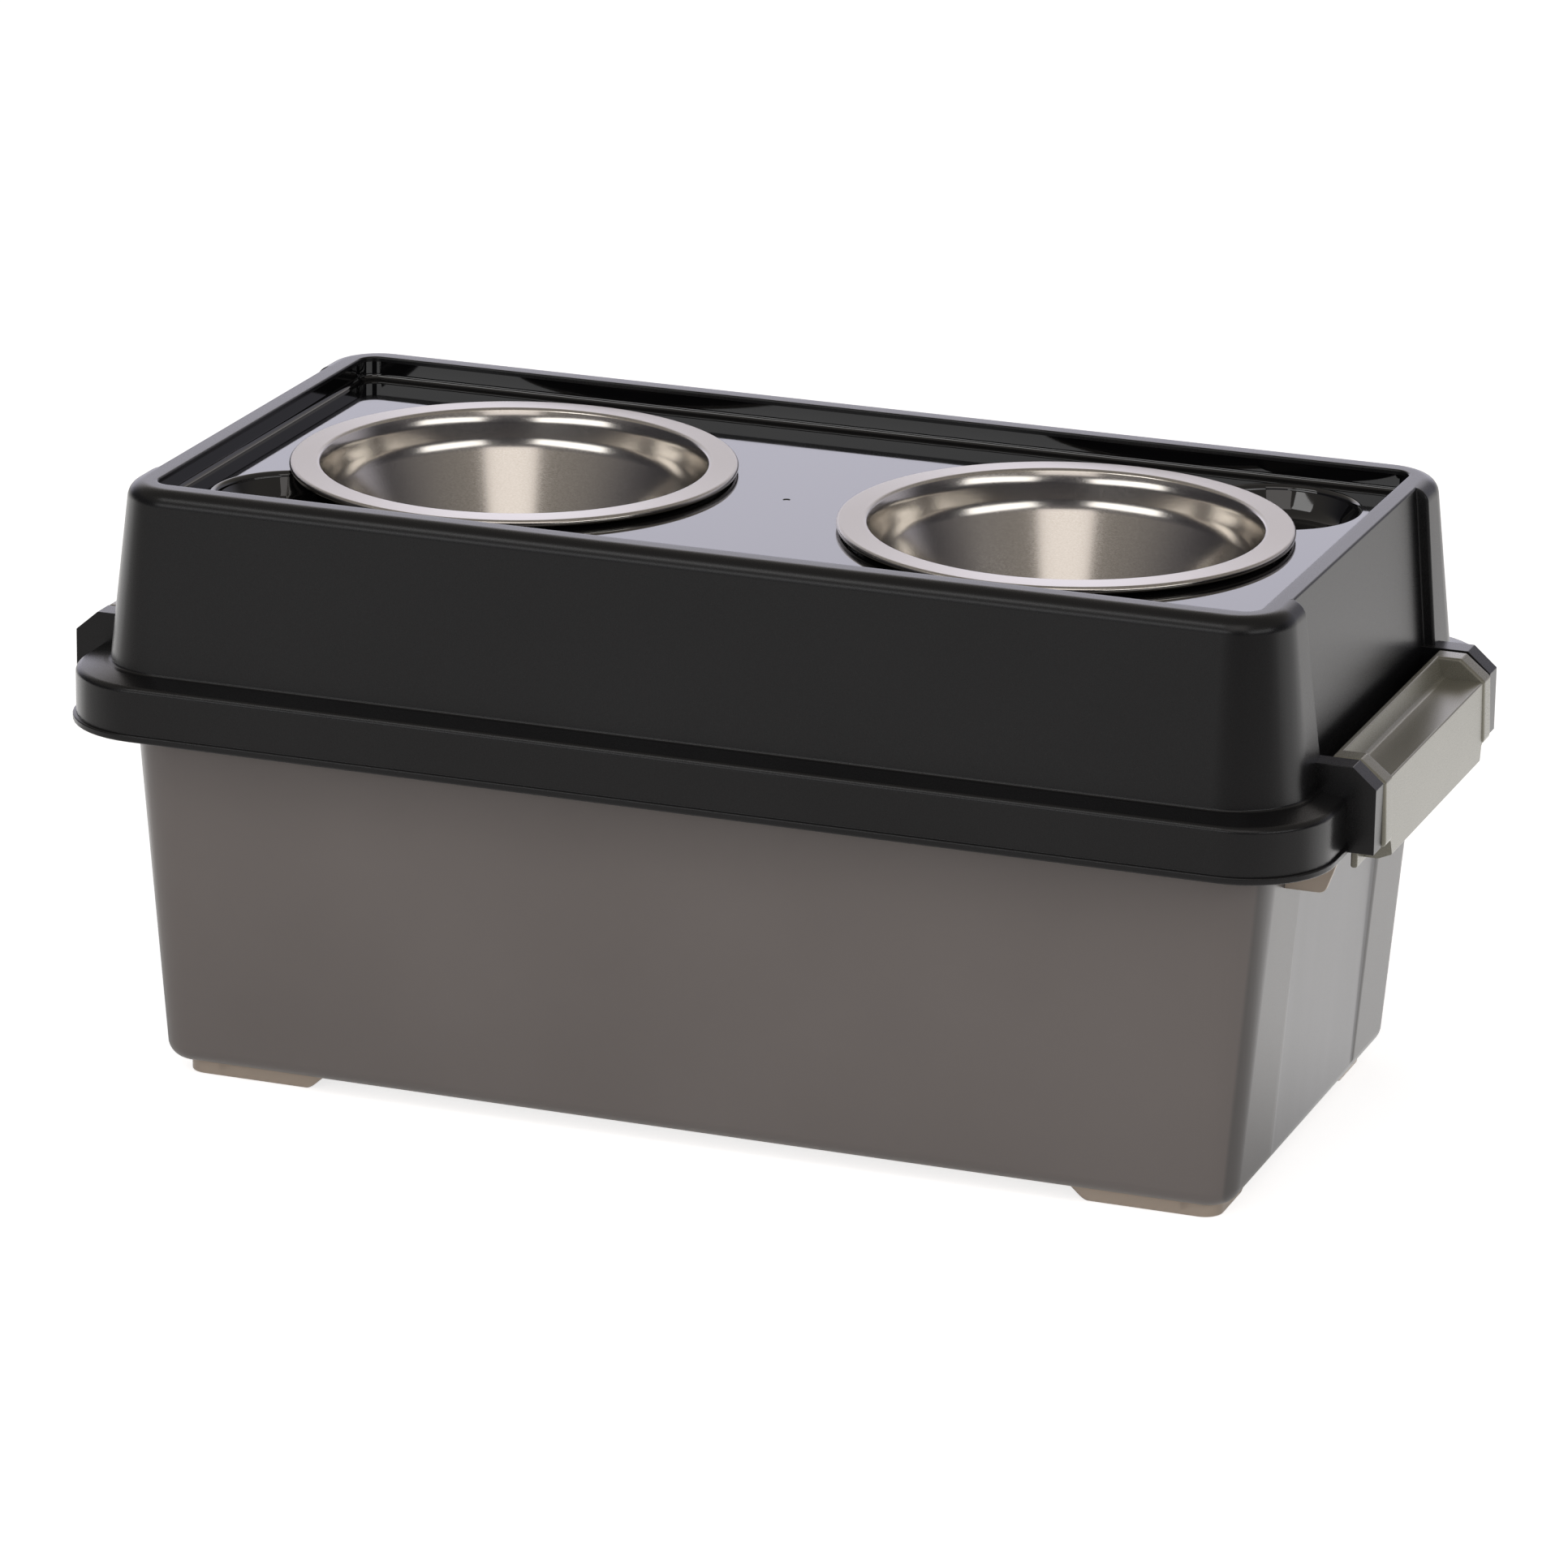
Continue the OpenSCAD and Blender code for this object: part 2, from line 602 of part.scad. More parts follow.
// The lip ends in a slant below each cheek.
module lip_corner() {
    translate([leg_x + 0.5, 0, 0]) rotate([90, 0, 90]) linear_extrude(30)
        polygon([[lip_half - 1, latch_lip_z - 9], [lip_half - 1, latch_lip_z - 3],
                 [lip_half, latch_lip_z + 1], [lip_half + 2, ear_foot_z - 1.6],
                 [lip_half + 4, ear_foot_z - 0.1], [latch_half + 1, ear_foot_z - 0.1],
                 [latch_half + 1, latch_lip_z - 9]]);
}
module latch() {
    color([0.6, 0.59, 0.55]) {
        difference() {
            latch_skin();
            both_sides() cheek_hollow();
            both_sides() lip_corner();
        }
        latch_hook();
        both_sides()
            translate([pivot_x, latch_half - 1, pivot_z])
                rotate([-90, 0, 0]) cylinder(d = pin_d, h = pin_len + 1, $fn = round_fn);
    }
}
module latch_right() {
    latch();
}
module latch_left() {
    mirror([1, 0, 0]) latch();
}

storage_tub();
lid_frame();
feeder_tray();
lid_seal();
bowl_left();
bowl_right();
latch_left();
latch_right();
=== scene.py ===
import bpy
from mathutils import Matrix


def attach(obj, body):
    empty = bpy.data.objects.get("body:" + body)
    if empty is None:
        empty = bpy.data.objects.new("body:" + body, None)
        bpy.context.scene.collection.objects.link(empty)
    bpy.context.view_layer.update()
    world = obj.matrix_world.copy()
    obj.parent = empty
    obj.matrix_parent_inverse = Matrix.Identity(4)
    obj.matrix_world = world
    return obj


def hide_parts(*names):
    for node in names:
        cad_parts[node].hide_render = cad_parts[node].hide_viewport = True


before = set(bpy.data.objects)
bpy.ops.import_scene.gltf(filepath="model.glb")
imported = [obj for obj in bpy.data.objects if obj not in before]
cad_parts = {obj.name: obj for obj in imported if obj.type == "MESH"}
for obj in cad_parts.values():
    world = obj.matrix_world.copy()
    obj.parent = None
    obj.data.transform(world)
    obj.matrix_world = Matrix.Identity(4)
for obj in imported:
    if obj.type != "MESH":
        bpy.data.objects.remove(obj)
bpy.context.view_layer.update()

import math

import bpy
import bmesh
from mathutils import Matrix, Vector

# Raised feeding station for a dog: smoky tub, black lid with a gloss tray, two steel bowls and
# two swinging latches. Sizes are in millimetres, and meshes are made in metres.
# Endings of names: L half length along X, W half width along Y, HALF half length of something
# that runs along Y, R radius, Z height above the floor, H own height, T thickness, D depth.
MM = 0.001
WELD = 1e-6               # metres: points closer than this are one
CLEAR = 400.0             # well outside the part, for the ends of cutting tools
SIDE_SHARE = 0.49         # the most that an arc may take of the sides beside it
CREASE, BOWL_CREASE = 32, 45   # degrees: edges over this angle stay sharp

# Overall
TOTAL_H = 312.5
BOWL_X = 147.3
LID_SLIM = 151.8          # half length minus half width, the same all over the lid
CONTACT = 0.02            # gap between pieces that rest on each other
LAP = 0.2                 # overlap of forms that are joined

# Storage tub
FOOT_H = 8.5
TUB_L, TUB_W, TUB_R = 284.2, 138.5, 16.0
TUB_MIN_R = 3.0
TUB_LEAN = 0.081          # outward lean of the walls for each mm of height
TUB_FLOOR_R = 9.0
TUB_BEND_Z = FOOT_H + TUB_FLOOR_R
TUB_WALL = 2.8
TUB_PANEL_HALF, TUB_PANEL_D = 71.0, 3.4
RAMP_RUN, RAMP_STEPS = 2.7, 8   # soft step beside the panels: run for each mm of depth
MOUTH_Z = 211.0
SHELF_L, SHELF_W, SHELF_R, SHELF_T = 323.2, 171.4, 40.1, 2.8
SHELF_UNDER_Z = MOUTH_Z - SHELF_T
SHELF_ROUND = 0.6
SHELF_FILLET = 1.5
SKIRT_H, SKIRT_T = 14.0, 2.0
SKIRT_Z = SHELF_UNDER_Z - SKIRT_H
GUSSET_Y, GUSSET_T, GUSSET_Z = 106.0, 3.0, 167.5
GUSSET_SLANT_X, GUSSET_SLANT_Z, GUSSET_ROUND = 5.4, 15.0, 0.5
FOOT_L, FOOT_W, FOOT_R, FOOT_T = 275.0, 126.3, 10.0, 3.0
FOOT_END_X, FOOT_END_Y, FOOT_ROUND = 209.0, 87.0, 0.5
FOOT_RUNOUT, RUNOUT_STEPS = 14.0, 12
FOOT_TOP_Z = FOOT_H + 1.5
FOOT_RIB_X = 256.5

# Lid frame
LID_WALL = 2.5
FLANGE_L, FLANGE_R, FLANGE_Z = 329.0, 45.9, 189.6
BEAD_OUT, BEAD_H = 1.5, 3.6
FACE_L = FLANGE_L - BEAD_OUT
INNER_L = FACE_L - LID_WALL
LEDGE_Z = 218.8
LEDGE_OUT_Z, LEDGE_IN_Z = LEDGE_Z - 1.6, LEDGE_Z + 1.3
LID_L, LID_R = 302.4, 28.4
LID_LEAN = 0.1106
WALL_FOOT_L = 313.0       # half length from which the corner radius grows faster
RIM_W, RIM_T = 15.6, 2.6
RIM_UNDER_Z = TOTAL_H - RIM_T
RIM_ROLL, PANEL_ROLL, ROLL_RUN, ROLL_STEPS = 9.0, 1.3, 20.0, 12
OPENING_R = 9.0
RECESS_D, RECESS_HALF, RECESS_TAPER = 5.8, 107.0, 0.075
PANEL_EDGE = (1.4, 0.8)   # rounding of the lid's panel step: upper edge and foot
SEAL_H, SEAL_W, SEAL_R, SEAL_ROUND = 3.4, 4.0, 36.0, 0.9
LEDGE_UNDER_Z = MOUTH_Z + SEAL_H
REST_RIBS, REST_RIB_PITCH, REST_RIB_T = 5, 113.4, 3.0
REST_RIB_Y = (167.3, 173.8)

# Ears and latches
LATCH_HALF = 95.8
LATCH_PLAY = 0.8
BAY_HALF = LATCH_HALF + LATCH_PLAY
EAR_T, EAR_X, EAR_Z, EAR_FOOT_Z = 13.0, 341.6, 233.4, 190.4
EAR_BEVEL_X, EAR_BEVEL_Z, EAR_ROUND = 12.0, 10.4, 0.7
PIVOT_X, PIVOT_Z = 322.0, 226.3
PIN_R, PIN_LEN, PIN_ROOT, PIN_CHAMFER = 4.0, 6.0, 3.0, 0.5
PIN_PLAY, PIN_END_PLAY = 0.08, 0.3
BACK_X = PIVOT_X - 6.9
BAY_WALL_X = BACK_X - 1.7
LATCH_WALL = 2.8
LATCH_TOP_Z = EAR_Z - 0.3
TROUGH_Z = EAR_Z - 10.9
TROUGH_UNDER_Z = TROUGH_Z - LATCH_WALL
CHEEK_W = 13.0
CHEEK_HALF = LATCH_HALF - CHEEK_W
SKIN_HALF = CHEEK_HALF + 1.5
SKIN_ROUND, HOOK_ROUND, CHEEK_INNER_ROUND, CHEEK_OUTER_ROUND = 0.9, 0.8, 1.8, 2.0
LIP_X, LIP_Z, LIP_HALF = 342.6, 181.4, 80.0
HOOK_Z, HOOK_HALF, HOOK_T = 177.0, 92.5, LATCH_WALL + 0.6
NOSE_X = SHELF_L + 0.4
LEG_X = NOSE_X + 1.9

# Tray, wells and scoops
DECK_Z = TOTAL_H - 11.9
TRAY_WALL, TRAY_GAP, TRAY_FLANGE, TRAY_FOOT_R, TRAY_MIN_R = 2.2, 0.4, 6.0, 3.0, 2.5
BASIN_STEPS = 6
WELL_R, WELL_FLOOR_R, WELL_DEPTH, WELL_BEND = 103.6, 88.0, 72.0, 12.0
COLLAR_H, COLLAR_T = 3.9, 2.6
SCOOP_R, SCOOP_REACH, SCOOP_TURN, SCOOP_DEPTH = 43.0, 120.0, 46.0, 15.0
SCOOP_BEND, SCOOP_FLARE = 9.0, 3.0
GATE_R, GATE_FLOOR_R, GATE_DEPTH = 2.1, 1.5, 0.4

# Bowls
BOWL_R, BOWL_MOUTH_R, BOWL_FLOOR_R = 114.0, 102.2, 80.0
BOWL_ROLL = 1.9
BOWL_DEPTH = 67.0
SHEET = 1.0
BOWL_Z = DECK_Z + COLLAR_H + SHEET
BOWL_HEEL, BOWL_HEEL_R = 7.4, 18.0
# Wall and soft shoulder: distance inside the mouth radius, depth below the rim, rounding
BOWL_SHOULDER = ((7.7, 18, 30), (5.2, 5, 26), (3.2, 0, 2.4))

# Camera, solved from straight edges and the bowl rims of the photograph
LENS_PX, PHOTO_PX, SENSOR = 9522.1, 1932, 36.0
CAM_AZ, CAM_EL, CAM_ROLL, CAM_DIST = 19.942, 17.924, 0.922, 3920.4
CAM_TARGET = (1.06, 0.0, 150.93)

# Tones of the materials, as darkest and lightest display values
SATIN = ((17, 17, 18), (21, 21, 22))
GLOSS = ((9, 9, 10), (12, 12, 13))
SMOKE = ((126, 119, 115), (134, 127, 123))
# Darker tone on the tub's end walls: painted shade
SMOKE_POST_SHADE = ((100, 97, 95), (108, 105, 103))
# Lighter, cooler tone on the tub's sunk end panels: a painted reflection
SMOKE_PANEL_REFLECTION = ((140, 140, 141), (150, 150, 152))
# Warm light tone of the thin feet, the gussets and the body's bottom edge: painted light through them and a
# painted highlight
SMOKE_BACKLIT = ((198, 183, 166), (206, 191, 174))
STEEL_INSIDE = ((190, 184, 176), (204, 199, 192))
STEEL_RIM = ((174, 170, 166), (182, 178, 174))
GREY_GOLD = ((128, 126, 114), (136, 134, 122))
RUBBER = ((36, 36, 37), (44, 44, 45))
NOISE_LOW, NOISE_HIGH = 0.3, 0.7   # nearly all values of a noise lie between these
WHITE = (1, 1, 1, 1)

# Stage: strengths of floor and studio. A pair gives two places on the floor, in metres, or two
# directions, between which a strength changes. A glow step has start, end and change along Y
FLOOR_HALF = 40.0
FLOOR_LIFT = 0.75
FRONT_GLOW, FRONT_GLOW_Y, FRONT_GLOW_X = 0.5, (-1.6, -1.1), (-0.4, 0.3)
FLOOR_GLOW_STEPS = ((-0.75, -0.4, 0.35), (-0.1, 0.15, 0.8), (0.5, 1.4, -0.48))
AMBIENT = 0.4
SWEEP, SWEEP_TOP, SWEEP_RIGHT = 1.85, 0.08, 0.3
SWEEP_Y, SWEEP_Z, SWEEP_X = (0.35, 0.75), (0.36, 0.62), (-0.1, 0.2)
ROOM, CEILING, CEILING_Z = 0.06, 0.32, (0.25, 0.6)
ROOM_TINT, CEILING_TINT = (0.89, 0.875, 1.0, 1), (1.0, 0.93, 0.85, 1)

# Soft boxes: name, azimuth, elevation, width and height, radiance, colour
LIGHT_AWAY, LIGHT_AIM_Z = 2.8, 0.25
SOFT_BOXES = (
    ("front_left", -17, 17, (2.3, 0.52), 2.6, (1, 1, 1)),
    ("front_right", 61, 19, (2.1, 0.52), 2.4, (1, 1, 1)),
    ("high_left", -28, 47, (1.4, 0.6), 2.8, (1, 1, 1)),
    ("over_camera", 21, 43, (1.6, 1.5), 1.1, (1.0, 0.955, 0.94)),
)


# Camera
def direction(azimuth, elevation):
    """Unit vector away from the object. Azimuth 0 is in front, and it grows towards +X."""
    az, el = math.radians(azimuth), math.radians(elevation)
    return Vector((math.sin(az) * math.cos(el), -math.cos(az) * math.cos(el), math.sin(el)))


def add_camera():
    """A camera at the photograph's angle, turned about its own axis by the solved roll."""
    roll = math.radians(CAM_ROLL)
    back = direction(CAM_AZ, CAM_EL)
    right = (-back).cross(Vector((0, 0, 1))).normalized()
    up = back.cross(right)
    side = right * math.cos(roll) + up * math.sin(roll)
    top = up * math.cos(roll) - right * math.sin(roll)
    data = bpy.data.cameras.new("camera")
    data.sensor_fit = "HORIZONTAL"
    data.sensor_width = SENSOR
    data.lens = LENS_PX / PHOTO_PX * SENSOR
    data.clip_end = 100
    camera = bpy.data.objects.new("camera", data)
    bpy.context.collection.objects.link(camera)
    place = Vector(CAM_TARGET) * MM + back * CAM_DIST * MM
    turn = Matrix((side, top, back)).transposed().to_4x4()
    camera.matrix_world = Matrix.Translation(place) @ turn
    bpy.context.scene.camera = camera


# Profiles
def arc(cx, cy, r, start, end, steps):
    """Points of an arc about (cx, cy), angles in degrees."""
    turns = (math.radians(start + (end - start) * i / steps) for i in range(steps + 1))
    return [(cx + r * math.cos(t), cy + r * math.sin(t)) for t in turns]


def corner_arc(before, corner, after, radius, steps):
    """Points of the arc that rounds a corner, made smaller where the sides are short."""
    back = before - corner
    ahead = after - corner
    half = back.angle(ahead) / 2
    reach = min(radius / math.tan(half), SIDE_SHARE * back.length, SIDE_SHARE * ahead.length)
    back.normalize()
    ahead.normalize()
    centre = corner + (back + ahead).normalized() * math.hypot(reach, reach * math.tan(half))
    first = corner + back * reach - centre
    last = corner + ahead * reach - centre
    turn = first.angle_signed(last)
    points = []
    for k in range(steps + 1):
        angle = -turn * (k / steps)
        c, s = math.cos(angle), math.sin(angle)
        points.append(tuple(centre + Vector((first.x * c - first.y * s, first.x * s + first.y * c))))
    return points


def rounded(path, steps=4, closed=False):
    """A path given as (x, z, radius), with an arc at each corner that has a radius."""
    corners = [Vector(p[:2]) for p in path]
    count = len(path)
    points = []
    for i, (x, z, radius) in enumerate(path):
        inner = closed or 0 < i < count - 1
        if inner and radius > 0:
            points += corner_arc(corners[i - 1], corners[i], corners[(i + 1) % count], radius, steps)
        else:
            points.append((x, z))
    return points


def inward_steps(profile):
    """For each point of a closed profile, the step that moves the sides beside it in by 1."""
    count = len(profile)
    area = sum(p[0] * q[1] - q[0] * p[1] for p, q in zip(profile, profile[1:] + profile[:1]))
    side = 1 if area > 0 else -1
    steps = []
    for i, p in enumerate(profile):
        a = (Vector(p) - Vector(profile[i - 1])).normalized()
        b = (Vector(profile[(i + 1) % count]) - Vector(p)).normalized()
        n = Vector((-a.y - b.y, a.x + b.x))
        steps.append(n.normalized() / max(n.length / 2, 0.5) * side)
    return steps


def thickened(path, wall):
    """A half section joined with its copy moved out by the wall."""
    outer = []
    for i, p in enumerate(path):
        a = Vector(path[max(i - 1, 0)])
        b = Vector(path[min(i + 1, len(path) - 1)])
        d = (b - a).normalized()
        outer.append((max(p[0] + wall * d.y, 0), p[1] - wall * d.x))
    return path + list(reversed(outer))


# Meshes
def add_object(name, verts, faces):
    """A mesh object from millimetre points."""
    mesh = bpy.data.meshes.new(name)
    mesh.from_pydata([tuple(c * MM for c in v) for v in verts], [], faces)
    mesh.validate()
    bm = bmesh.new()
    bm.from_mesh(mesh)
    bmesh.ops.remove_doubles(bm, verts=bm.verts, dist=WELD)
    bmesh.ops.dissolve_degenerate(bm, edges=bm.edges, dist=WELD)
    bmesh.ops.recalc_face_normals(bm, faces=bm.faces)
    bm.to_mesh(mesh)
    bm.free()
    obj = bpy.data.objects.new(name, mesh)
    bpy.context.collection.objects.link(obj)
    return obj


def loft(name, rings, closed=False):
    """Skins equal rings of points. Closed joins the last ring to the first, otherwise both
    ends are capped."""
    count = len(rings[0])
    verts = [p for ring in rings for p in ring]
    faces = []
    last = len(rings) if closed else len(rings) - 1
    for i in range(last):
        k = (i + 1) % len(rings)
        for j in range(count):
            n = (j + 1) % count
            faces.append((i * count + j, i * count + n, k * count + n, k * count + j))
    if not closed:
        faces.append(tuple(reversed(range(count))))
        faces.append(tuple(range((len(rings) - 1) * count, len(rings) * count)))
    return add_object(name, verts, faces)


def revolve(name, path, steps=128, closed=False, x=0.0, y=0.0):
    """Turns a profile of (radius, height) points about a vertical axis at (x, y)."""
    turns = [2 * math.pi * j / steps for j in range(steps)]
    verts, rows = [], []
    for r, z in path:
        start = len(verts)
        if r < WELD:
            rows.append([start] * steps)
            verts.append((x, y, z))
        else:
            rows.append(list(range(start, start + steps)))
            verts += [(x + r * math.cos(t), y + r * math.sin(t), z) for t in turns]
    pairs = list(zip(rows, rows[1:]))
    if closed:
        pairs.append((rows[-1], rows[0]))
    faces = []
    for low, high in pairs:
        for j in range(steps):
            n = (j + 1) % steps
            face = list(dict.fromkeys((low[j], low[n], high[n], high[j])))
            if len(face) > 2:
                faces.append(face)
    return add_object(name, verts, faces)


def extruded(name, profile, y0, y1):
    """A closed profile in X and Z, carried along Y."""
    return loft(name, [[(x, y, z) for x, z in profile] for y in (y0, y1)])


def pillow(name, profile, y0, y1, r0, r1, steps=3):
    """An extrusion in Y with rounded end edges: r0 at y0 and r1 at y1."""
    turns = [math.pi / 2 * i / steps for i in range(steps + 1)]
    stations = [(y0 + r0 * (1 - math.cos(t)), r0 * (1 - math.sin(t))) for t in turns]
    stations += [(y1 - r1 * (1 - math.cos(t)), r1 * (1 - math.sin(t))) for t in reversed(turns)]
    inward = inward_steps(profile)
    rings = [[(p[0] + n.x * inset, y, p[1] + n.y * inset) for p, n in zip(profile, inward)]
             for y, inset in stations]
    return loft(name, rings)


def block(name, low, high):
    """A plain box, used as a cutting tool."""
    x0, y0, z0 = low
    x1, y1, z1 = high
    return extruded(name, [(x0, z0), (x1, z0), (x1, z1), (x0, z1)], y0, y1)


def quarter_turned(obj):
    """Turns the mesh about Z, so that a profile in X and Z comes to lie in Y and Z."""
    for v in obj.data.vertices:
        v.co = Vector((-v.co.y, v.co.x, v.co.z))
    return obj


def along_y(obj, x, y, z, way):
    """Lays a revolved form with its axis along Y, starting at (x, y, z) and running to +Y where
    way is 1, or to -Y where it is -1."""
    for v in obj.data.vertices:
        v.co = Vector((x * MM + v.co.x, y * MM + way * v.co.z, z * MM - way * v.co.y))
    return obj


def apply_modifiers(obj):
    """Keeps the evaluated mesh and drops the modifiers."""
    graph = bpy.context.evaluated_depsgraph_get()
    mesh = bpy.data.meshes.new_from_object(obj.evaluated_get(graph))
    obj.modifiers.clear()
    obj.data = mesh


def combine(obj, tools, operation):
    """Boolean of obj with each tool; the tools are removed."""
    for tool in tools:
        step = obj.modifiers.new("boolean", "BOOLEAN")
        step.operation = operation
        step.solver = "MANIFOLD"
        step.object = tool
        apply_modifiers(obj)
        bpy.data.objects.remove(tool)


def bevel(obj, width, segments, angle):
    """Rounds every edge sharper than the angle."""
    step = obj.modifiers.new("bevel", "BEVEL")
    step.width = width * MM
    step.segments = segments
    step.limit_method = "ANGLE"
    step.angle_limit = math.radians(angle)
    apply_modifiers(obj)


def mirrored(obj, name, axis):
    """A mirrored copy about the plane through the origin, normals turned outward."""
    copy = obj.copy()
    copy.data = obj.data.copy()
    copy.name = name
    bpy.context.collection.objects.link(copy)
    bm = bmesh.new()
    bm.from_mesh(copy.data)
    for v in bm.verts:
        v.co[axis] = -v.co[axis]
    bmesh.ops.reverse_faces(bm, faces=bm.faces)
    bm.to_mesh(copy.data)
    bm.free()
    return copy


def pair(obj, axis):
    """The mirrored copy and the object itself."""
    return [mirrored(obj, obj.name + "_mirror", axis), obj]


def all_corners(obj):
    """The object and its copies at the other end and side."""
    other_end = mirrored(obj, obj.name + "_end", 0)
    return [obj, other_end, mirrored(obj, obj.name + "_side", 1),
            mirrored(other_end, obj.name + "_both", 1)]


def finish_mesh(obj, material, angle=CREASE):
    """Smooth shading with edges over the angle kept sharp, and the material."""
    for face in obj.data.polygons:
        face.use_smooth = True
    obj.data.set_sharp_from_angle(angle=math.radians(angle))
    step = obj.modifiers.new("normals", "WEIGHTED_NORMAL")
    step.keep_sharp = True
    obj.data.materials.clear()
    obj.data.materials.append(material)


def install(obj, body, node):
    """Puts a piece on its body, in place of the CAD node, which it hides."""
    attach(obj, body)
    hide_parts(node)


# Outlines with sunk end panels
def step_points(depth, edge):
    """The edge of a sunk panel as (share of depth, offset along y), post side first: a step
    with rounded edges, or a soft ramp where no edge is given."""
    if edge is None:
        run = RAMP_RUN * depth
        shares = [i / RAMP_STEPS for i in range(RAMP_STEPS + 1)]
        return [((1 - math.cos(math.pi * s)) / 2, run * (0.5 - s)) for s in shares]
    top, foot = edge
    points = []
    for turn in (0, 22.5, 45, 67.5, 90):
        t = math.radians(turn)
        points.append(((top - top * math.cos(t)) / depth, top - top * math.sin(t)))
    for turn in (0, 30, 60, 90):
        t = math.radians(turn)
        points.append(((depth - foot + foot * math.sin(t)) / depth, -foot + foot * math.cos(t)))
    return points


def outline(a, b, r, z, d=0.0, h=RECESS_HALF, depth=RECESS_D, panel_z=None, steps=12,
            edge=PANEL_EDGE):
    """One closed ring, counterclockwise: half sizes a and b, corner radius r, and end panels
    sunk by d between y = -h and y = h. The panels may lie at a height of their own."""
    shift = 0 if panel_z is None else panel_z - z
    side = [(a - d * u, h + v, z + shift * u) for u, v in step_points(depth, edge)]
    quarter = [(x, y, z) for x, y in arc(a - r, b - r, r, 0, 90, steps)]
    right = list(reversed(side)) + quarter
    left = [(-x, y, q) for x, y, q in reversed(right)]
    rear = right + left
    return rear + [(-x, -y, q) for x, y, q in rear]


# Lid frame
def lid_half(z):
    """Half length of the lid's leaning wall at height z."""
    return LID_L + LID_LEAN * (TOTAL_H - z)


def recess_half(z):
    return RECESS_HALF - RECESS_TAPER * (TOTAL_H - z)


def lid_corner(a):
    """Corner radius of the lid where its half length is a."""
    if a < WALL_FOOT_L:
        return a - LID_L + LID_R
    foot_r = WALL_FOOT_L - LID_L + LID_R
    share = (a - WALL_FOOT_L) / (FLANGE_L - WALL_FOOT_L)
    return foot_r + share * (FLANGE_R - foot_r)


def lid_ring(a, z, d=0.0, r=None, panel_z=None):
    """Ring of the lid where its half length is a; its width follows."""
    corner = lid_corner(a) if r is None else r
    return outline(a, a - LID_SLIM, corner, z, d, recess_half(z), RECESS_D, panel_z)


def flange_rings():
    """Inner edge, bead, upright face and the start of the ledge."""
    path = [(INNER_L, FLANGE_Z + 4, 0), (INNER_L, FLANGE_Z, 0.6), (FLANGE_L, FLANGE_Z, 1.1),
            (FLANGE_L, FLANGE_Z + BEAD_H, 1.1), (FACE_L, FLANGE_Z + BEAD_H + 0.3, 0.35),
            (FACE_L, LEDGE_OUT_Z, 3.4), (lid_half(LEDGE_IN_Z) + 3.2, LEDGE_IN_Z - 0.35, 0)]
    return [lid_ring(a, z) for a, z in rounded(path, steps=5)]


def wall_rings():
    """Foot of the leaning wall, then its rolled top. Above the end panels the top is crisp."""
    path = [(lid_half(LEDGE_IN_Z) + 2.6, LEDGE_IN_Z - 0.3, 0), (lid_half(LEDGE_IN_Z), LEDGE_IN_Z, 1.9),
            (lid_half(LEDGE_IN_Z + 3), LEDGE_IN_Z + 3, 0)]
    rings = [lid_ring(a, z, RECESS_D) for a, z in rounded(path, steps=5)]
    start_z = TOTAL_H - ROLL_RUN
    rolled = rounded([(lid_half(start_z), start_z, 0), (lid_half(TOTAL_H), TOTAL_H, RIM_ROLL),
                      (LID_L - ROLL_RUN, TOTAL_H, 0)], ROLL_STEPS)[1:-1]
    crisp = rounded([(0, -12, 0), (1, 0, PANEL_ROLL), (12, 0, 0)], ROLL_STEPS)[1:-1]
    for (a, z), (inset, drop) in zip(rolled, crisp):
        panel_a = LID_L - RECESS_D - inset + 1
        rings.append(lid_ring(a, z, a - panel_a, panel_z=TOTAL_H + drop))
    return rings


def opening_rings():
    """Rounded edge of the opening that holds the tray."""
    opening = LID_L - RIM_W
    edge = rounded([(opening + 3, TOTAL_H, 0), (opening, TOTAL_H, 1.0), (opening, RIM_UNDER_Z, 0)])
    return [lid_ring(a, z, r=OPENING_R + a - opening) for a, z in edge]


def inside_rings():
    """Inner faces, from the rim's underside down to the land on the seal and the flange."""
    return [lid_ring(lid_half(RIM_UNDER_Z) - LID_WALL, RIM_UNDER_Z, RECESS_D),
            lid_ring(lid_half(LEDGE_IN_Z) - LID_WALL, LEDGE_IN_Z, RECESS_D),
            lid_ring(FACE_L - 11.5, LEDGE_Z - 2.6),
            lid_ring(FACE_L - 8.5, LEDGE_UNDER_Z),
            lid_ring(INNER_L, LEDGE_UNDER_Z)]


def cut_bays(lid):
    """Opens the flange for both latches and closes the ledge behind each with a wall."""
    bay = block("bay", (BAY_WALL_X, -BAY_HALF, FLANGE_Z - 5), (FLANGE_L + 20, BAY_HALF, LEDGE_Z + 4))
    combine(lid, [bay, mirrored(bay, "bay_end", 0)], "DIFFERENCE")
    wall = block("bay_wall", (BAY_WALL_X - LID_WALL, -BAY_HALF - 1, MOUTH_Z),
                 (BAY_WALL_X, BAY_HALF + 1, LEDGE_Z - 0.8))
    combine(lid, pair(wall, 0), "UNION")


def ear_profile(root):
    """Side view of an ear that starts inside the wall at x = root."""
    inside = INNER_L + LAP
    under = LEDGE_UNDER_Z + LAP
    back = BAY_WALL_X - LID_WALL
    return [(root, LEDGE_Z - 0.6), (root, EAR_Z), (EAR_X - EAR_BEVEL_X, EAR_Z),
            (EAR_X, EAR_Z - EAR_BEVEL_Z), (EAR_X, EAR_FOOT_Z), (inside, EAR_FOOT_Z),
            (inside, under), (back, under), (back, LEDGE_Z - 0.6)]


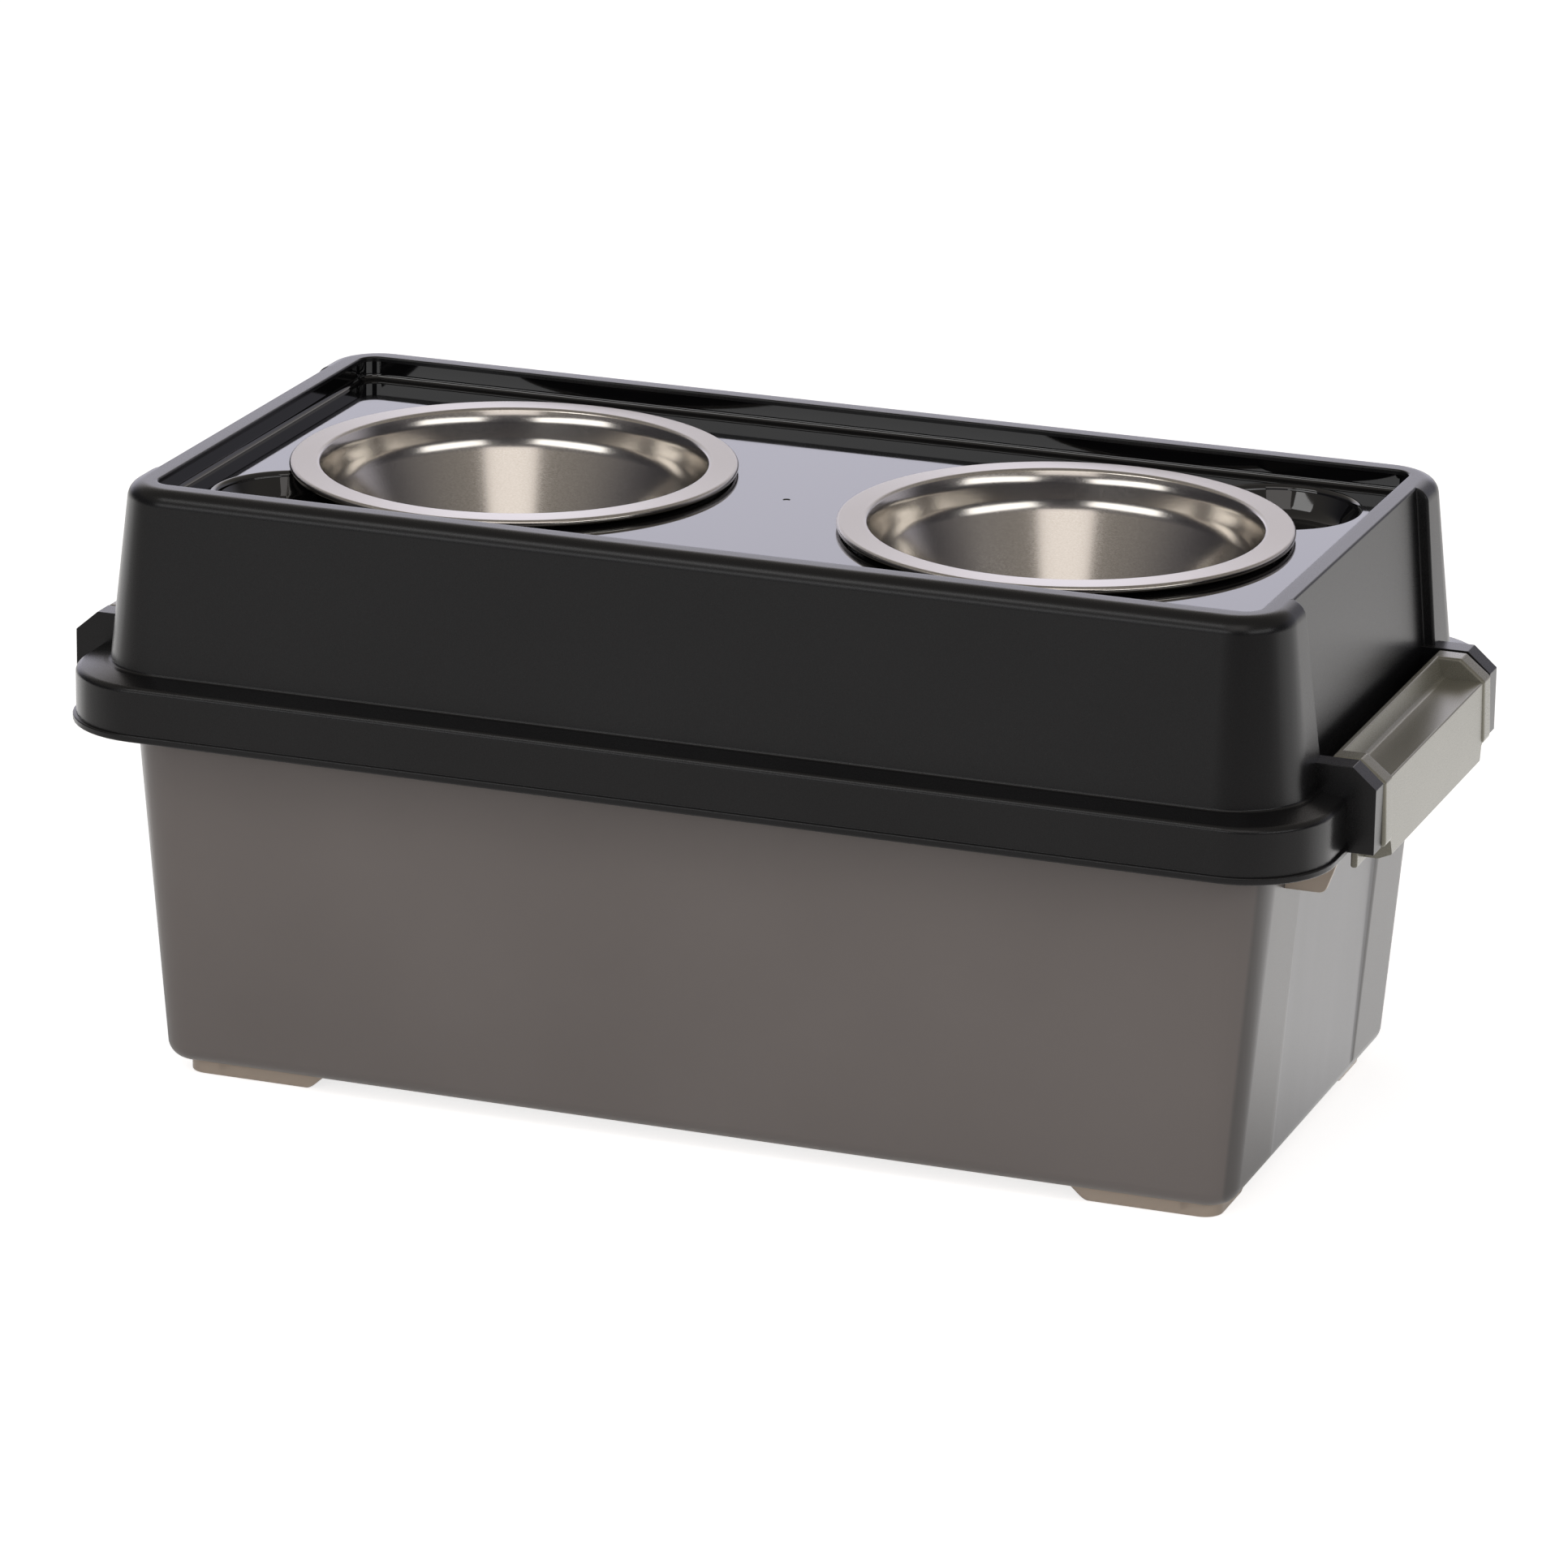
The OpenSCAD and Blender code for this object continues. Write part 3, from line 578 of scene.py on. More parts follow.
def make_ear():
    """The ear at the right rear: bevelled, hollow from below, with a socket for the pin."""
    wall = lid_half(EAR_Z)
    filler = extruded("ear_root", ear_profile(wall - RECESS_D - 1), BAY_HALF, recess_half(EAR_Z))
    ear = extruded("ear", ear_profile(wall - 1), BAY_HALF, BAY_HALF + EAR_T)
    combine(ear, [filler], "UNION")
    bevel(ear, EAR_ROUND, 3, 40)
    hollow = block("hollow", (FACE_L + 1, BAY_HALF + LID_WALL, EAR_FOOT_Z - 3),
                   (EAR_X - LID_WALL, BAY_HALF + EAR_T - LID_WALL, PIVOT_Z - PIN_R - 5))
    combine(ear, [hollow], "DIFFERENCE")
    bore, end = PIN_R + PIN_PLAY, PIN_LEN + PIN_END_PLAY
    socket = revolve("socket", [(0, -2), (bore, -2), (bore, end), (0, end)], steps=48)
    combine(ear, [along_y(socket, PIVOT_X, BAY_HALF, PIVOT_Z, 1)], "DIFFERENCE")
    return ear


def rest_ribs():
    """Short ribs along both sides, which stand on the tub's shelf."""
    ribs = []
    for i in range(REST_RIBS):
        x = (i - (REST_RIBS - 1) / 2) * REST_RIB_PITCH
        rib = block("rib", (x - REST_RIB_T / 2, REST_RIB_Y[0], MOUTH_Z),
                    (x + REST_RIB_T / 2, REST_RIB_Y[1], LEDGE_UNDER_Z + 0.5))
        ribs += [rib, mirrored(rib, "rib_side", 1)]
    return ribs


def make_lid_frame(material):
    """Bead, flange, ledge, leaning walls with sunk end panels, rim, latch bays and ears."""
    rings = flange_rings() + wall_rings() + opening_rings() + inside_rings()
    lid = loft("lid_frame_shell", rings, closed=True)
    cut_bays(lid)
    combine(lid, all_corners(make_ear()), "UNION")
    combine(lid, rest_ribs(), "UNION")
    lid.name = "lid_frame_body"
    finish_mesh(lid, material)
    install(lid, "lid", "lid_frame")


# Tray
def basin(r, floor_r, depth, bend, flare=0.0):
    """Half section of a round basin, from the axis up to the deck, its mouth flared if asked."""
    floor = DECK_Z - depth
    lean = math.atan2(r - floor_r, depth)
    cx = floor_r - bend * (1 - math.sin(lean)) / math.cos(lean)
    path = [(0, floor)] + arc(cx, floor + bend, bend, -90, -math.degrees(lean), BASIN_STEPS)
    if flare:
        return path + arc(r + flare, DECK_Z - flare, flare, 180, 90, BASIN_STEPS)
    return path + [(r, DECK_Z)]


def tray_ring(out, z):
    """Ring of the tray, moved out from its inner wall."""
    a = LID_L - RIM_W + TRAY_GAP + out
    return outline(a, a - LID_SLIM, max(OPENING_R + TRAY_GAP + out, TRAY_MIN_R), z, steps=10)


def tray_pan():
    """Deck, raised wall with a rounded foot, and the flange that hangs from the lid's rim."""
    flange_z = RIM_UNDER_Z - TRAY_WALL
    top = RIM_UNDER_Z - CONTACT
    rings = [tray_ring(-TRAY_FOOT_R, DECK_Z - TRAY_WALL), tray_ring(0.6, DECK_Z - 1.4),
             tray_ring(TRAY_WALL, DECK_Z + 0.8), tray_ring(TRAY_WALL, flange_z),
             tray_ring(TRAY_FLANGE, flange_z), tray_ring(TRAY_FLANGE, top), tray_ring(0, top)]
    for turn in range(0, 91, 15):
        t = math.radians(turn)
        rings.append(tray_ring(-TRAY_FOOT_R * (1 - math.cos(t)), DECK_Z + TRAY_FOOT_R * (1 - math.sin(t))))
    return loft("feeder_tray_pan", rings)


def well_solid(well, x):
    """Wall and floor of a bowl well."""
    floor = DECK_Z - WELL_DEPTH
    section = thickened(well, TRAY_WALL)[1:-1] + [(0, floor - TRAY_WALL), (0, floor)]
    return revolve("well", section, closed=True, x=x)


def collar(x):
    """Low ring around a well, on which the bowl's rim rests."""
    inner, outer = WELL_R - 0.5, WELL_R + COLLAR_T
    top = DECK_Z + COLLAR_H - CONTACT
    edge = rounded([(outer, DECK_Z, 0), (outer, top, 0.8), (inner, top, 0)], steps=3)[1:]
    return revolve("collar", [(inner, DECK_Z - 1), (outer, DECK_Z - 1)] + edge, closed=True, x=x)


def scoop_solid(x, y):
    """Body of a finger scoop under the deck."""
    floor = DECK_Z - SCOOP_DEPTH
    section = [(0, floor - TRAY_WALL), (SCOOP_R - 12, floor - TRAY_WALL), (SCOOP_R - 1, floor + 6),
               (SCOOP_R + 0.5, DECK_Z - 2), (SCOOP_R + 0.5, DECK_Z - 0.6), (0, DECK_Z - 0.6)]
    return revolve("scoop", section, x=x, y=y)


def basin_cut(path, r, x, y=0.0):
    """Cutting tool with the inside of a basin, carried up through the deck."""
    return revolve("basin_cut", path + [(r, DECK_Z + 9), (0, DECK_Z + 9)], x=x, y=y)


def gate_mark():
    """Cutting tool of the small round gate mark in the middle of the deck."""
    floor = DECK_Z - GATE_DEPTH
    section = [(0, floor), (GATE_FLOOR_R, floor), (GATE_R, DECK_Z), (GATE_R, DECK_Z + 2), (0, DECK_Z + 2)]
    return revolve("gate", section, steps=32)


def make_tray(material):
    """Gloss insert with two bowl wells and two finger scoops."""
    tray = tray_pan()
    turn = math.radians(SCOOP_TURN)
    scoop_x = BOWL_X + SCOOP_REACH * math.cos(turn)
    scoop_y = SCOOP_REACH * math.sin(turn)
    well = basin(WELL_R, WELL_FLOOR_R, WELL_DEPTH, WELL_BEND)
    scoop = basin(SCOOP_R - SCOOP_FLARE, SCOOP_R - SCOOP_BEND, SCOOP_DEPTH, SCOOP_BEND, SCOOP_FLARE)
    adds, cuts = [], []
    for side in (-1, 1):
        x, far_x, far_y = side * BOWL_X, side * scoop_x, side * scoop_y
        adds += [well_solid(well, x), collar(x), scoop_solid(far_x, far_y)]
        cuts += [basin_cut(well, WELL_R, x), basin_cut(scoop, SCOOP_R, far_x, far_y)]
    cuts.append(gate_mark())
    combine(tray, adds, "UNION")
    combine(tray, cuts, "DIFFERENCE")
    tray.name = "feeder_tray_body"
    finish_mesh(tray, material)
    install(tray, "lid", "feeder_tray")


# Storage tub
def tub_section(a, b, r, z, d=0.0):
    """A ring of the tub, whose end panels have a soft step."""
    return outline(a, b, r, z, d, TUB_PANEL_HALF, TUB_PANEL_D, edge=None)


def tub_outline(z, inset, d=0.0):
    """A ring of the leaning walls at height z, moved in by the inset."""
    out = TUB_LEAN * (z - FOOT_H) - inset
    return tub_section(TUB_L + out, TUB_W + out, max(TUB_R + out, TUB_MIN_R), z, d)


def tub_ring(z, inset=0.0):
    """A wall ring. The end panels sink deeper with height."""
    return tub_outline(z, inset, TUB_PANEL_D * (z - TUB_BEND_Z) / (MOUTH_Z - TUB_BEND_Z))


def tub_floor_ring(turn, inset):
    """A ring of the floor's rounded edge, turn in degrees from flat."""
    r = TUB_FLOOR_R - inset
    t = math.radians(turn)
    return tub_outline(FOOT_H + inset + r * (1 - math.cos(t)), inset + r * (1 - math.sin(t)))


def shelf_ring(inset, z):
    return tub_section(SHELF_L - inset, SHELF_W - inset, SHELF_R - inset, z)


def tub_shell():
    """Floor, leaning walls, folded shelf with its skirt, and the inside."""
    turns = range(0, 85, 12)
    neck = TUB_LEAN * (SHELF_UNDER_Z - FOOT_H) + SHELF_FILLET
    rings = [tub_floor_ring(turn, 0) for turn in turns]
    rings += [tub_ring(TUB_BEND_Z), tub_ring(SHELF_UNDER_Z - SHELF_FILLET)]
    rings += [tub_section(TUB_L + neck, TUB_W + neck, TUB_R + neck, SHELF_UNDER_Z, TUB_PANEL_D)]
    rings += [shelf_ring(SKIRT_T, SHELF_UNDER_Z), shelf_ring(SKIRT_T, SKIRT_Z), shelf_ring(0, SKIRT_Z),
              shelf_ring(0, MOUTH_Z - SHELF_ROUND), shelf_ring(SHELF_ROUND, MOUTH_Z)]
    rings += [tub_ring(MOUTH_Z, TUB_WALL), tub_ring(TUB_BEND_Z, TUB_WALL)]
    rings += [tub_floor_ring(turn, TUB_WALL) for turn in reversed(turns)]
    return loft("storage_tub_shell", rings)


def make_gusset():
    """One thin rib that holds up the shelf."""
    x0 = TUB_L + TUB_LEAN * (GUSSET_Z - FOOT_H) - 0.8
    x1 = SHELF_L - 0.4
    top = SHELF_UNDER_Z + 0.4
    profile = rounded([(x0, GUSSET_Z, 0), (x1 - GUSSET_SLANT_X, GUSSET_Z, 4.5),
                       (x1, GUSSET_Z + GUSSET_SLANT_Z, 1), (x1, top, 0), (x0 + 3, top, 0)],
                      steps=6, closed=True)
    y0, y1 = GUSSET_Y - GUSSET_T / 2, GUSSET_Y + GUSSET_T / 2
    return pillow("gusset", profile, y0, y1, GUSSET_ROUND, GUSSET_ROUND)


def foot_side(end):
    """Side view of one foot leg: flat sole with a curved run-out."""
    ramp = [(end - FOOT_RUNOUT, FOOT_TOP_Z)]
    for i in range(RUNOUT_STEPS + 1):
        t = i / RUNOUT_STEPS
        ramp.append((end - FOOT_RUNOUT * (1 - t), (FOOT_H - 0.2) * (1 + math.cos(math.pi * t)) / 2))
    return ramp + [(CLEAR, 0), (CLEAR, FOOT_TOP_Z)]


def make_foot():
    """One foot: a thin angle that follows the tub's corner, cut by the side views of both legs,
    with a rib inside."""
    x0 = FOOT_END_X - FOOT_RUNOUT - 2
    y0 = FOOT_END_Y - FOOT_RUNOUT - 2
    corner_x, corner_y = FOOT_L - FOOT_R, FOOT_W - FOOT_R
    outer = list(reversed(arc(corner_x, corner_y, FOOT_R, 0, 90, 10)))
    inner = arc(corner_x, corner_y, FOOT_R - FOOT_T, 0, 90, 10)
    plan = [(x0, FOOT_W)] + outer + [(FOOT_L, y0), (FOOT_L - FOOT_T, y0)] + inner + [(x0, FOOT_W - FOOT_T)]
    foot = loft("foot", [[(x, y, z) for x, y in plan] for z in (0, FOOT_TOP_Z)])
    long_leg = extruded("long_leg", foot_side(FOOT_END_X), corner_y, FOOT_W + 5)
    short_leg = quarter_turned(extruded("short_leg", foot_side(FOOT_END_Y), -CLEAR, -corner_x))
    combine(long_leg, [short_leg], "UNION")
    combine(foot, [long_leg], "INTERSECT")
    bevel(foot, FOOT_ROUND, 2, 40)
    rib = block("rib", (FOOT_RIB_X - 1, FOOT_W - 26, 2), (FOOT_RIB_X + 1, FOOT_W - FOOT_T + 0.5, FOOT_TOP_Z))
    combine(foot, [rib], "UNION")
    return foot


def make_tub(material):
    """Smoky tub with gussets, feet, and a skirt cut away where the latches hook in."""
    tub = tub_shell()
    combine(tub, all_corners(make_gusset()), "UNION")
    combine(tub, all_corners(make_foot()), "UNION")
    bay = block("hook_bay", (SHELF_L - SKIRT_T - 0.5, -BAY_HALF, SKIRT_Z - 1),
                (SHELF_L + 1, BAY_HALF, SHELF_UNDER_Z))
    combine(tub, pair(bay, 0), "DIFFERENCE")
    tub.name = "storage_tub_body"
    finish_mesh(tub, material)
    install(tub, "tub", "storage_tub")


def make_seal(material):
    """A soft ring with a rounded crown, between the tub's shelf and the lid's land."""
    out_l = BAY_WALL_X - LID_WALL - 1.3
    out_w = SHELF_W - 5.4
    section = rounded([(x, z, SEAL_ROUND) for x, z in ((0, 0), (0, SEAL_H), (SEAL_W, SEAL_H), (SEAL_W, 0))],
                      steps=3, closed=True)
    rings = [outline(out_l - x, out_w - x, SEAL_R - x, MOUTH_Z + z) for x, z in section]
    seal = loft("lid_seal_ring", rings, closed=True)
    finish_mesh(seal, material)
    install(seal, "lid", "lid_seal")


# Bowls
def bowl_path():
    """Upper face of a bowl: floor, leaning wall, soft shoulder and flat rim."""
    low = BOWL_Z - BOWL_DEPTH + SHEET
    path = [(0, low, 0), (BOWL_FLOOR_R - BOWL_HEEL, low, BOWL_HEEL_R)]
    path += [(BOWL_MOUTH_R - inset, BOWL_Z - drop, r) for inset, drop, r in BOWL_SHOULDER]
    path.append((BOWL_R - BOWL_ROLL, BOWL_Z, 0))
    return rounded(path, steps=8)


def make_bowl(name, side, body, material):
    """A bowl of thin sheet with a rolled edge, made at the origin and then set in its well."""
    path = bowl_path()
    under = thickened(path, SHEET)[len(path):]
    roll = arc(BOWL_R - BOWL_ROLL, BOWL_Z - BOWL_ROLL, BOWL_ROLL, 90, -150, 12)
    bowl = revolve(name + "_body", path[:-1] + roll + under[1:], steps=192)
    bowl.location.x = side * BOWL_X * MM
    finish_mesh(bowl, material, BOWL_CREASE)
    install(bowl, body, name)


# Latches
def make_cheek():
    """One cheek, bevelled like the ear beside it and hollow from below."""
    profile = rounded([(BACK_X, TROUGH_UNDER_Z, 1), (BACK_X, LATCH_TOP_Z, 1),
                       (EAR_X - EAR_BEVEL_X, LATCH_TOP_Z, 2), (EAR_X + 0.8, TROUGH_Z + 0.3, 2),
                       (EAR_X + 1.8, EAR_FOOT_Z + 2, 2.2), (EAR_X + 1.2, EAR_FOOT_Z, 1.6),
                       (LEG_X, EAR_FOOT_Z, 0), (LEG_X, TROUGH_UNDER_Z, 0)], steps=5, closed=True)
    cheek = pillow("cheek", profile, CHEEK_HALF, LATCH_HALF, CHEEK_INNER_ROUND, CHEEK_OUTER_ROUND, 5)
    hollow = block("hollow", (LEG_X + LATCH_WALL, CHEEK_HALF + LATCH_WALL, LIP_Z - 5),
                   (EAR_X - LATCH_WALL + 0.8, LATCH_HALF - LATCH_WALL, TROUGH_UNDER_Z - 1))
    combine(cheek, [hollow], "DIFFERENCE")
    return cheek


def end_wall():
    """Wall behind the end of the lip."""
    low, high = LIP_Z - 2.5, EAR_FOOT_Z + LATCH_WALL
    profile = rounded([(LEG_X + 1, low, 0), (LIP_X - 7, low, 3), (LIP_X - 1.4, LIP_Z + 0.1, 0.5),
                       (LIP_X - 1.2, high, 0), (LEG_X + 1, high, 0)], closed=True)
    return extruded("end_wall", profile, LIP_HALF - LATCH_WALL, SKIN_HALF)


def slant_cut():
    """Cutting tool of the lip's slanted lower corner."""
    low, high = LIP_Z - 9, EAR_FOOT_Z - 0.1
    profile = rounded([(LIP_HALF - 1, low, 0), (LIP_HALF - 1, LIP_Z - 3, 0), (LIP_HALF, LIP_Z + 1, 3),
                       (LIP_HALF + 2.6, high, 2.4), (LATCH_HALF + 1, high, 0), (LATCH_HALF + 1, low, 0)],
                      closed=True)
    return quarter_turned(extruded("corner", profile, -CLEAR, -(LEG_X + 0.5)))


def make_skin():
    """Back strip, open trough and long lip in one skin."""
    strip_x = BACK_X + LATCH_WALL
    profile = rounded([(BACK_X, TROUGH_UNDER_Z, 1), (BACK_X, LATCH_TOP_Z, 0.8), (strip_x, LATCH_TOP_Z, 0.8),
                       (strip_x + 3, TROUGH_Z, 2.5), (EAR_X, TROUGH_Z, 0.8), (LIP_X, LIP_Z, 1.2),
                       (LIP_X - LATCH_WALL, LIP_Z + 0.4, 1), (EAR_X - LATCH_WALL, TROUGH_UNDER_Z, 2)],
                      closed=True)
    skin = extruded("skin", profile, -SKIN_HALF, SKIN_HALF)
    combine(skin, pair(end_wall(), 1), "UNION")
    combine(skin, pair(slant_cut(), 1), "DIFFERENCE")
    bevel(skin, SKIN_ROUND, 3, 50)
    return skin


def lip_ribs():
    """Three ribs between the hook leg and the lip."""
    low, high = LIP_Z + 8, TROUGH_Z - 1
    profile = [(LEG_X + 1, low), (LIP_X - 1.5, low), (EAR_X - 1.5, high), (LEG_X + 1, high)]
    places = [i * LIP_HALF * 0.6 for i in (-1, 0, 1)]
    return [extruded("rib", profile, y - 1, y + 1) for y in places]


def make_hook():
    """Leg that hangs beside the tub's shelf, with a nose below it."""
    root, back = TROUGH_UNDER_Z + 0.5, LEG_X + HOOK_T
    profile = rounded([(LEG_X, root, 0), (LEG_X, SHELF_UNDER_Z - 2, 0.5), (NOSE_X, SHELF_UNDER_Z - 3.5, 0.5),
                       (NOSE_X, SHELF_UNDER_Z - 7, 0.5), (LEG_X, SHELF_UNDER_Z - 11, 0.5),
                       (LEG_X, HOOK_Z, 1.3), (back, HOOK_Z, 1.3), (back, root, 0)], closed=True)
    return pillow("hook", profile, -HOOK_HALF, HOOK_HALF, HOOK_ROUND, HOOK_ROUND)


def make_pin():
    """Moulded pin at the rear end of the latch, rooted in the cheek."""
    length = PIN_LEN + PIN_ROOT
    profile = [(0, 0), (PIN_R - PIN_CHAMFER, 0), (PIN_R, PIN_CHAMFER), (PIN_R, length), (0, length)]
    return along_y(revolve("pin", profile, steps=48), PIVOT_X, LATCH_HALF + PIN_LEN, PIVOT_Z, -1)


def make_latches(material):
    """Right latch from its forms, and the left one as its mirror image."""
    right = make_skin()
    combine(right, pair(make_cheek(), 1) + [make_hook()] + lip_ribs(), "UNION")
    combine(right, pair(make_pin(), 1), "UNION")
    right.name = "latch_right_body"
    left = mirrored(right, "latch_left_body", 0)
    for obj, body, node in ((right, "right_latch", "latch_right"), (left, "left_latch", "latch_left")):
        finish_mesh(obj, material)
        install(obj, body, node)


# Shader nodes. A value may be a number, a colour or the output of another node
def new_material(name):
    """A material, its node tree and its shader."""
    mat = bpy.data.materials.new(name)
    mat.use_nodes = True
    return mat, mat.node_tree, mat.node_tree.nodes["Principled BSDF"]


def linear(rgb):
    """Linear colour from 0 to 255 display values."""
    out = []
    for c in rgb:
        c = c / 255
        out.append(c / 12.92 if c <= 0.04045 else ((c + 0.055) / 1.055) ** 2.4)
    return (*out, 1.0)


def feed(tree, value, socket):
    """Links an output to the socket, or sets the socket's own value."""
    if isinstance(value, bpy.types.NodeSocket):
        tree.links.new(value, socket)
    else:
        socket.default_value = value


def calculated(tree, operation, *values):
    """Result of one calculation on up to three values."""
    node = tree.nodes.new("ShaderNodeMath")
    node.operation = operation
    for value, socket in zip(values, node.inputs):
        feed(tree, value, socket)
    return node.outputs["Value"]


def product(tree, first, second):
    return calculated(tree, "MULTIPLY", first, second)


def ranged(tree, value, low, high, first, last, smooth=True):
    """A float mapped from low..high to first..last."""
    span = tree.nodes.new("ShaderNodeMapRange")
    if smooth:
        span.interpolation_type = "SMOOTHSTEP"
    span.inputs["From Min"].default_value = low
    span.inputs["From Max"].default_value = high
    span.inputs["To Min"].default_value = first
    span.inputs["To Max"].default_value = last
    feed(tree, value, span.inputs["Value"])
    return span.outputs["Result"]


def mixed(tree, kind, factor, first, second):
    """A FLOAT or RGBA value mixed from first to second by the factor."""
    mix = tree.nodes.new("ShaderNodeMix")
    mix.data_type = kind
    for value, socket in ((factor, "Factor"), (first, "A"), (second, "B")):
        feed(tree, value, mix.inputs[socket])
    return mix.outputs["Result"]


def colour_ramp(tree, factor, first, last, start=0.0, end=1.0):
    """A colour that goes from first to last as the factor goes from start to end."""
    ramp = tree.nodes.new("ShaderNodeValToRGB")
    low, high = ramp.color_ramp.elements
    low.position, high.position = start, end
    low.color, high.color = first, last
    feed(tree, factor, ramp.inputs["Fac"])
    return ramp.outputs["Color"]


def axes(tree, source):
    """The X, Y and Z parts of a vector."""
    split = tree.nodes.new("ShaderNodeSeparateXYZ")
    feed(tree, source, split.inputs["Vector"])
    return [split.outputs[axis] for axis in "XYZ"]


def own_space(tree):
    """Place on the object, in its own space."""
    return tree.nodes.new("ShaderNodeTexCoord").outputs["Object"]


def noise(tree, scale, detail=3.0, stretch=None):
    """Noise over the object's own space, scale in features per metre."""
    texture = tree.nodes.new("ShaderNodeTexNoise")
    texture.inputs["Scale"].default_value = scale
    texture.inputs["Detail"].default_value = detail
    source = own_space(tree)
    if stretch:
        scaler = tree.nodes.new("ShaderNodeMapping")
        scaler.inputs["Scale"].default_value = stretch
        feed(tree, source, scaler.inputs["Vector"])
        source = scaler.outputs["Vector"]
    feed(tree, source, texture.inputs["Vector"])
    return texture.outputs["Fac"]


def toned(tree, factor, tones):
    """A colour that varies with the noise between two tones."""
    dark, light = tones
    return colour_ramp(tree, factor, linear(dark), linear(light), NOISE_LOW, NOISE_HIGH)


def spread(tree, factor, low, high):
    """A float that varies with the noise between low and high."""
    return ranged(tree, factor, NOISE_LOW, NOISE_HIGH, low, high, smooth=False)


def add_bump(tree, shader, factor, strength):
    """Fine relief, 0.2 mm at full strength."""
    bump = tree.nodes.new("ShaderNodeBump")
    bump.inputs["Strength"].default_value = strength
    bump.inputs["Distance"].default_value = 0.2 * MM
    feed(tree, factor, bump.inputs["Height"])
    feed(tree, bump.outputs["Normal"], shader.inputs["Normal"])


# Materials
def satin_black():
    """Fine-grained black moulding."""
    mat, tree, shader = new_material("satin_black")
    grain = noise(tree, 2500)
    cloud = noise(tree, 9, 2)
    feed(tree, toned(tree, cloud, SATIN), shader.inputs["Base Color"])
    feed(tree, spread(tree, grain, 0.26, 0.31), shader.inputs["Roughness"])
    add_bump(tree, shader, grain, 0.06)
    shader.inputs["Specular IOR Level"].default_value = 0.33
    return mat


def gloss_black():
    """Polished black moulding with a faint flow unevenness."""
    mat, tree, shader = new_material("gloss_black")
    cloud = noise(tree, 14, 2)
    feed(tree, toned(tree, cloud, GLOSS), shader.inputs["Base Color"])
    feed(tree, spread(tree, cloud, 0.035, 0.055), shader.inputs["Roughness"])
    shader.inputs["IOR"].default_value = 1.6
    shader.inputs["Coat Weight"].default_value = 0.1
    shader.inputs["Coat Roughness"].default_value = 0.05
    return mat


def tub_masks(tree):
    """Masks of the tub for painted light: shade on the end walls, a reflection on their sunk panels, light
    through the feet and gussets, and a highlight along the body's bottom edge.
    """
    x, y, z = axes(tree, own_space(tree))
    x, y = calculated(tree, "ABSOLUTE", x), calculated(tree, "ABSOLUTE", y)
    # How far out a point lies once the wall's lean is taken off, so that masks follow the wall
    reach = calculated(tree, "MULTIPLY_ADD", z, -TUB_LEAN, x)
    wall_x = TUB_L - TUB_LEAN * FOOT_H
    below = ranged(tree, z, (SHELF_UNDER_Z - 0.6) * MM, (SHELF_UNDER_Z - 0.1) * MM, 1.0, 0.0)
    # End walls, which get painted shade
    end = ranged(tree, reach, (wall_x - 6) * MM, (wall_x - 4) * MM, 0.0, 1.0)
    end = product(tree, end, below)
    # Sunk end panels, which get a painted reflection
    across = ranged(tree, y, (TUB_PANEL_HALF - 0.6) * MM, (TUB_PANEL_HALF + 0.6) * MM, 1.0, 0.0)
    panel = product(tree, across, end)
    # The feet and the lowest 1.6 mm of the body: painted light through the feet and a painted highlight
    # along the bottom edge
    foot = ranged(tree, z, (FOOT_H + 0.8) * MM, (FOOT_H + 1.6) * MM, 1.0, 0.0)
    # Gussets outside the wall: painted light through the thin ribs
    slice_y = calculated(tree, "COMPARE", y, GUSSET_Y * MM, (GUSSET_T / 2 + 0.2) * MM)
    outside = ranged(tree, reach, (wall_x + 0.2) * MM, (wall_x + 0.4) * MM, 0.0, 1.0)
    gusset = product(tree, product(tree, slice_y, outside), below)
    return end, panel, foot, gusset


def smoky_plastic():
    """Translucent grey-brown moulding, with painted shade on the end walls, a painted cool reflection on the
    sunk end panels, painted light through the thin feet and gussets, and a painted highlight along the
    body's bottom edge.
    """
    mat, tree, shader = new_material("smoky_plastic")
    cloud = noise(tree, 6)
    grain = noise(tree, 1800)
    streak = noise(tree, 26, 2, (1, 1, 0.12))
    end, panel, foot, gusset = tub_masks(tree)
    lit_through = toned(tree, cloud, SMOKE_BACKLIT)
    tone = toned(tree, cloud, SMOKE)
    # Painted shade on the end walls, a painted reflection on the panels, and painted light through the feet
    # and gussets
    tone = mixed(tree, "RGBA", end, tone, toned(tree, cloud, SMOKE_POST_SHADE))
    tone = mixed(tree, "RGBA", panel, tone, toned(tree, streak, SMOKE_PANEL_REFLECTION))
    tone = mixed(tree, "RGBA", foot, tone, lit_through)
    tone = mixed(tree, "RGBA", gusset, tone, lit_through)
    feed(tree, tone, shader.inputs["Base Color"])
    feed(tree, spread(tree, grain, 0.3, 0.36), shader.inputs["Roughness"])
    add_bump(tree, shader, grain, 0.04)
    shader.inputs["Transmission Weight"].default_value = 0.3
    shader.inputs["IOR"].default_value = 1.49
    return mat


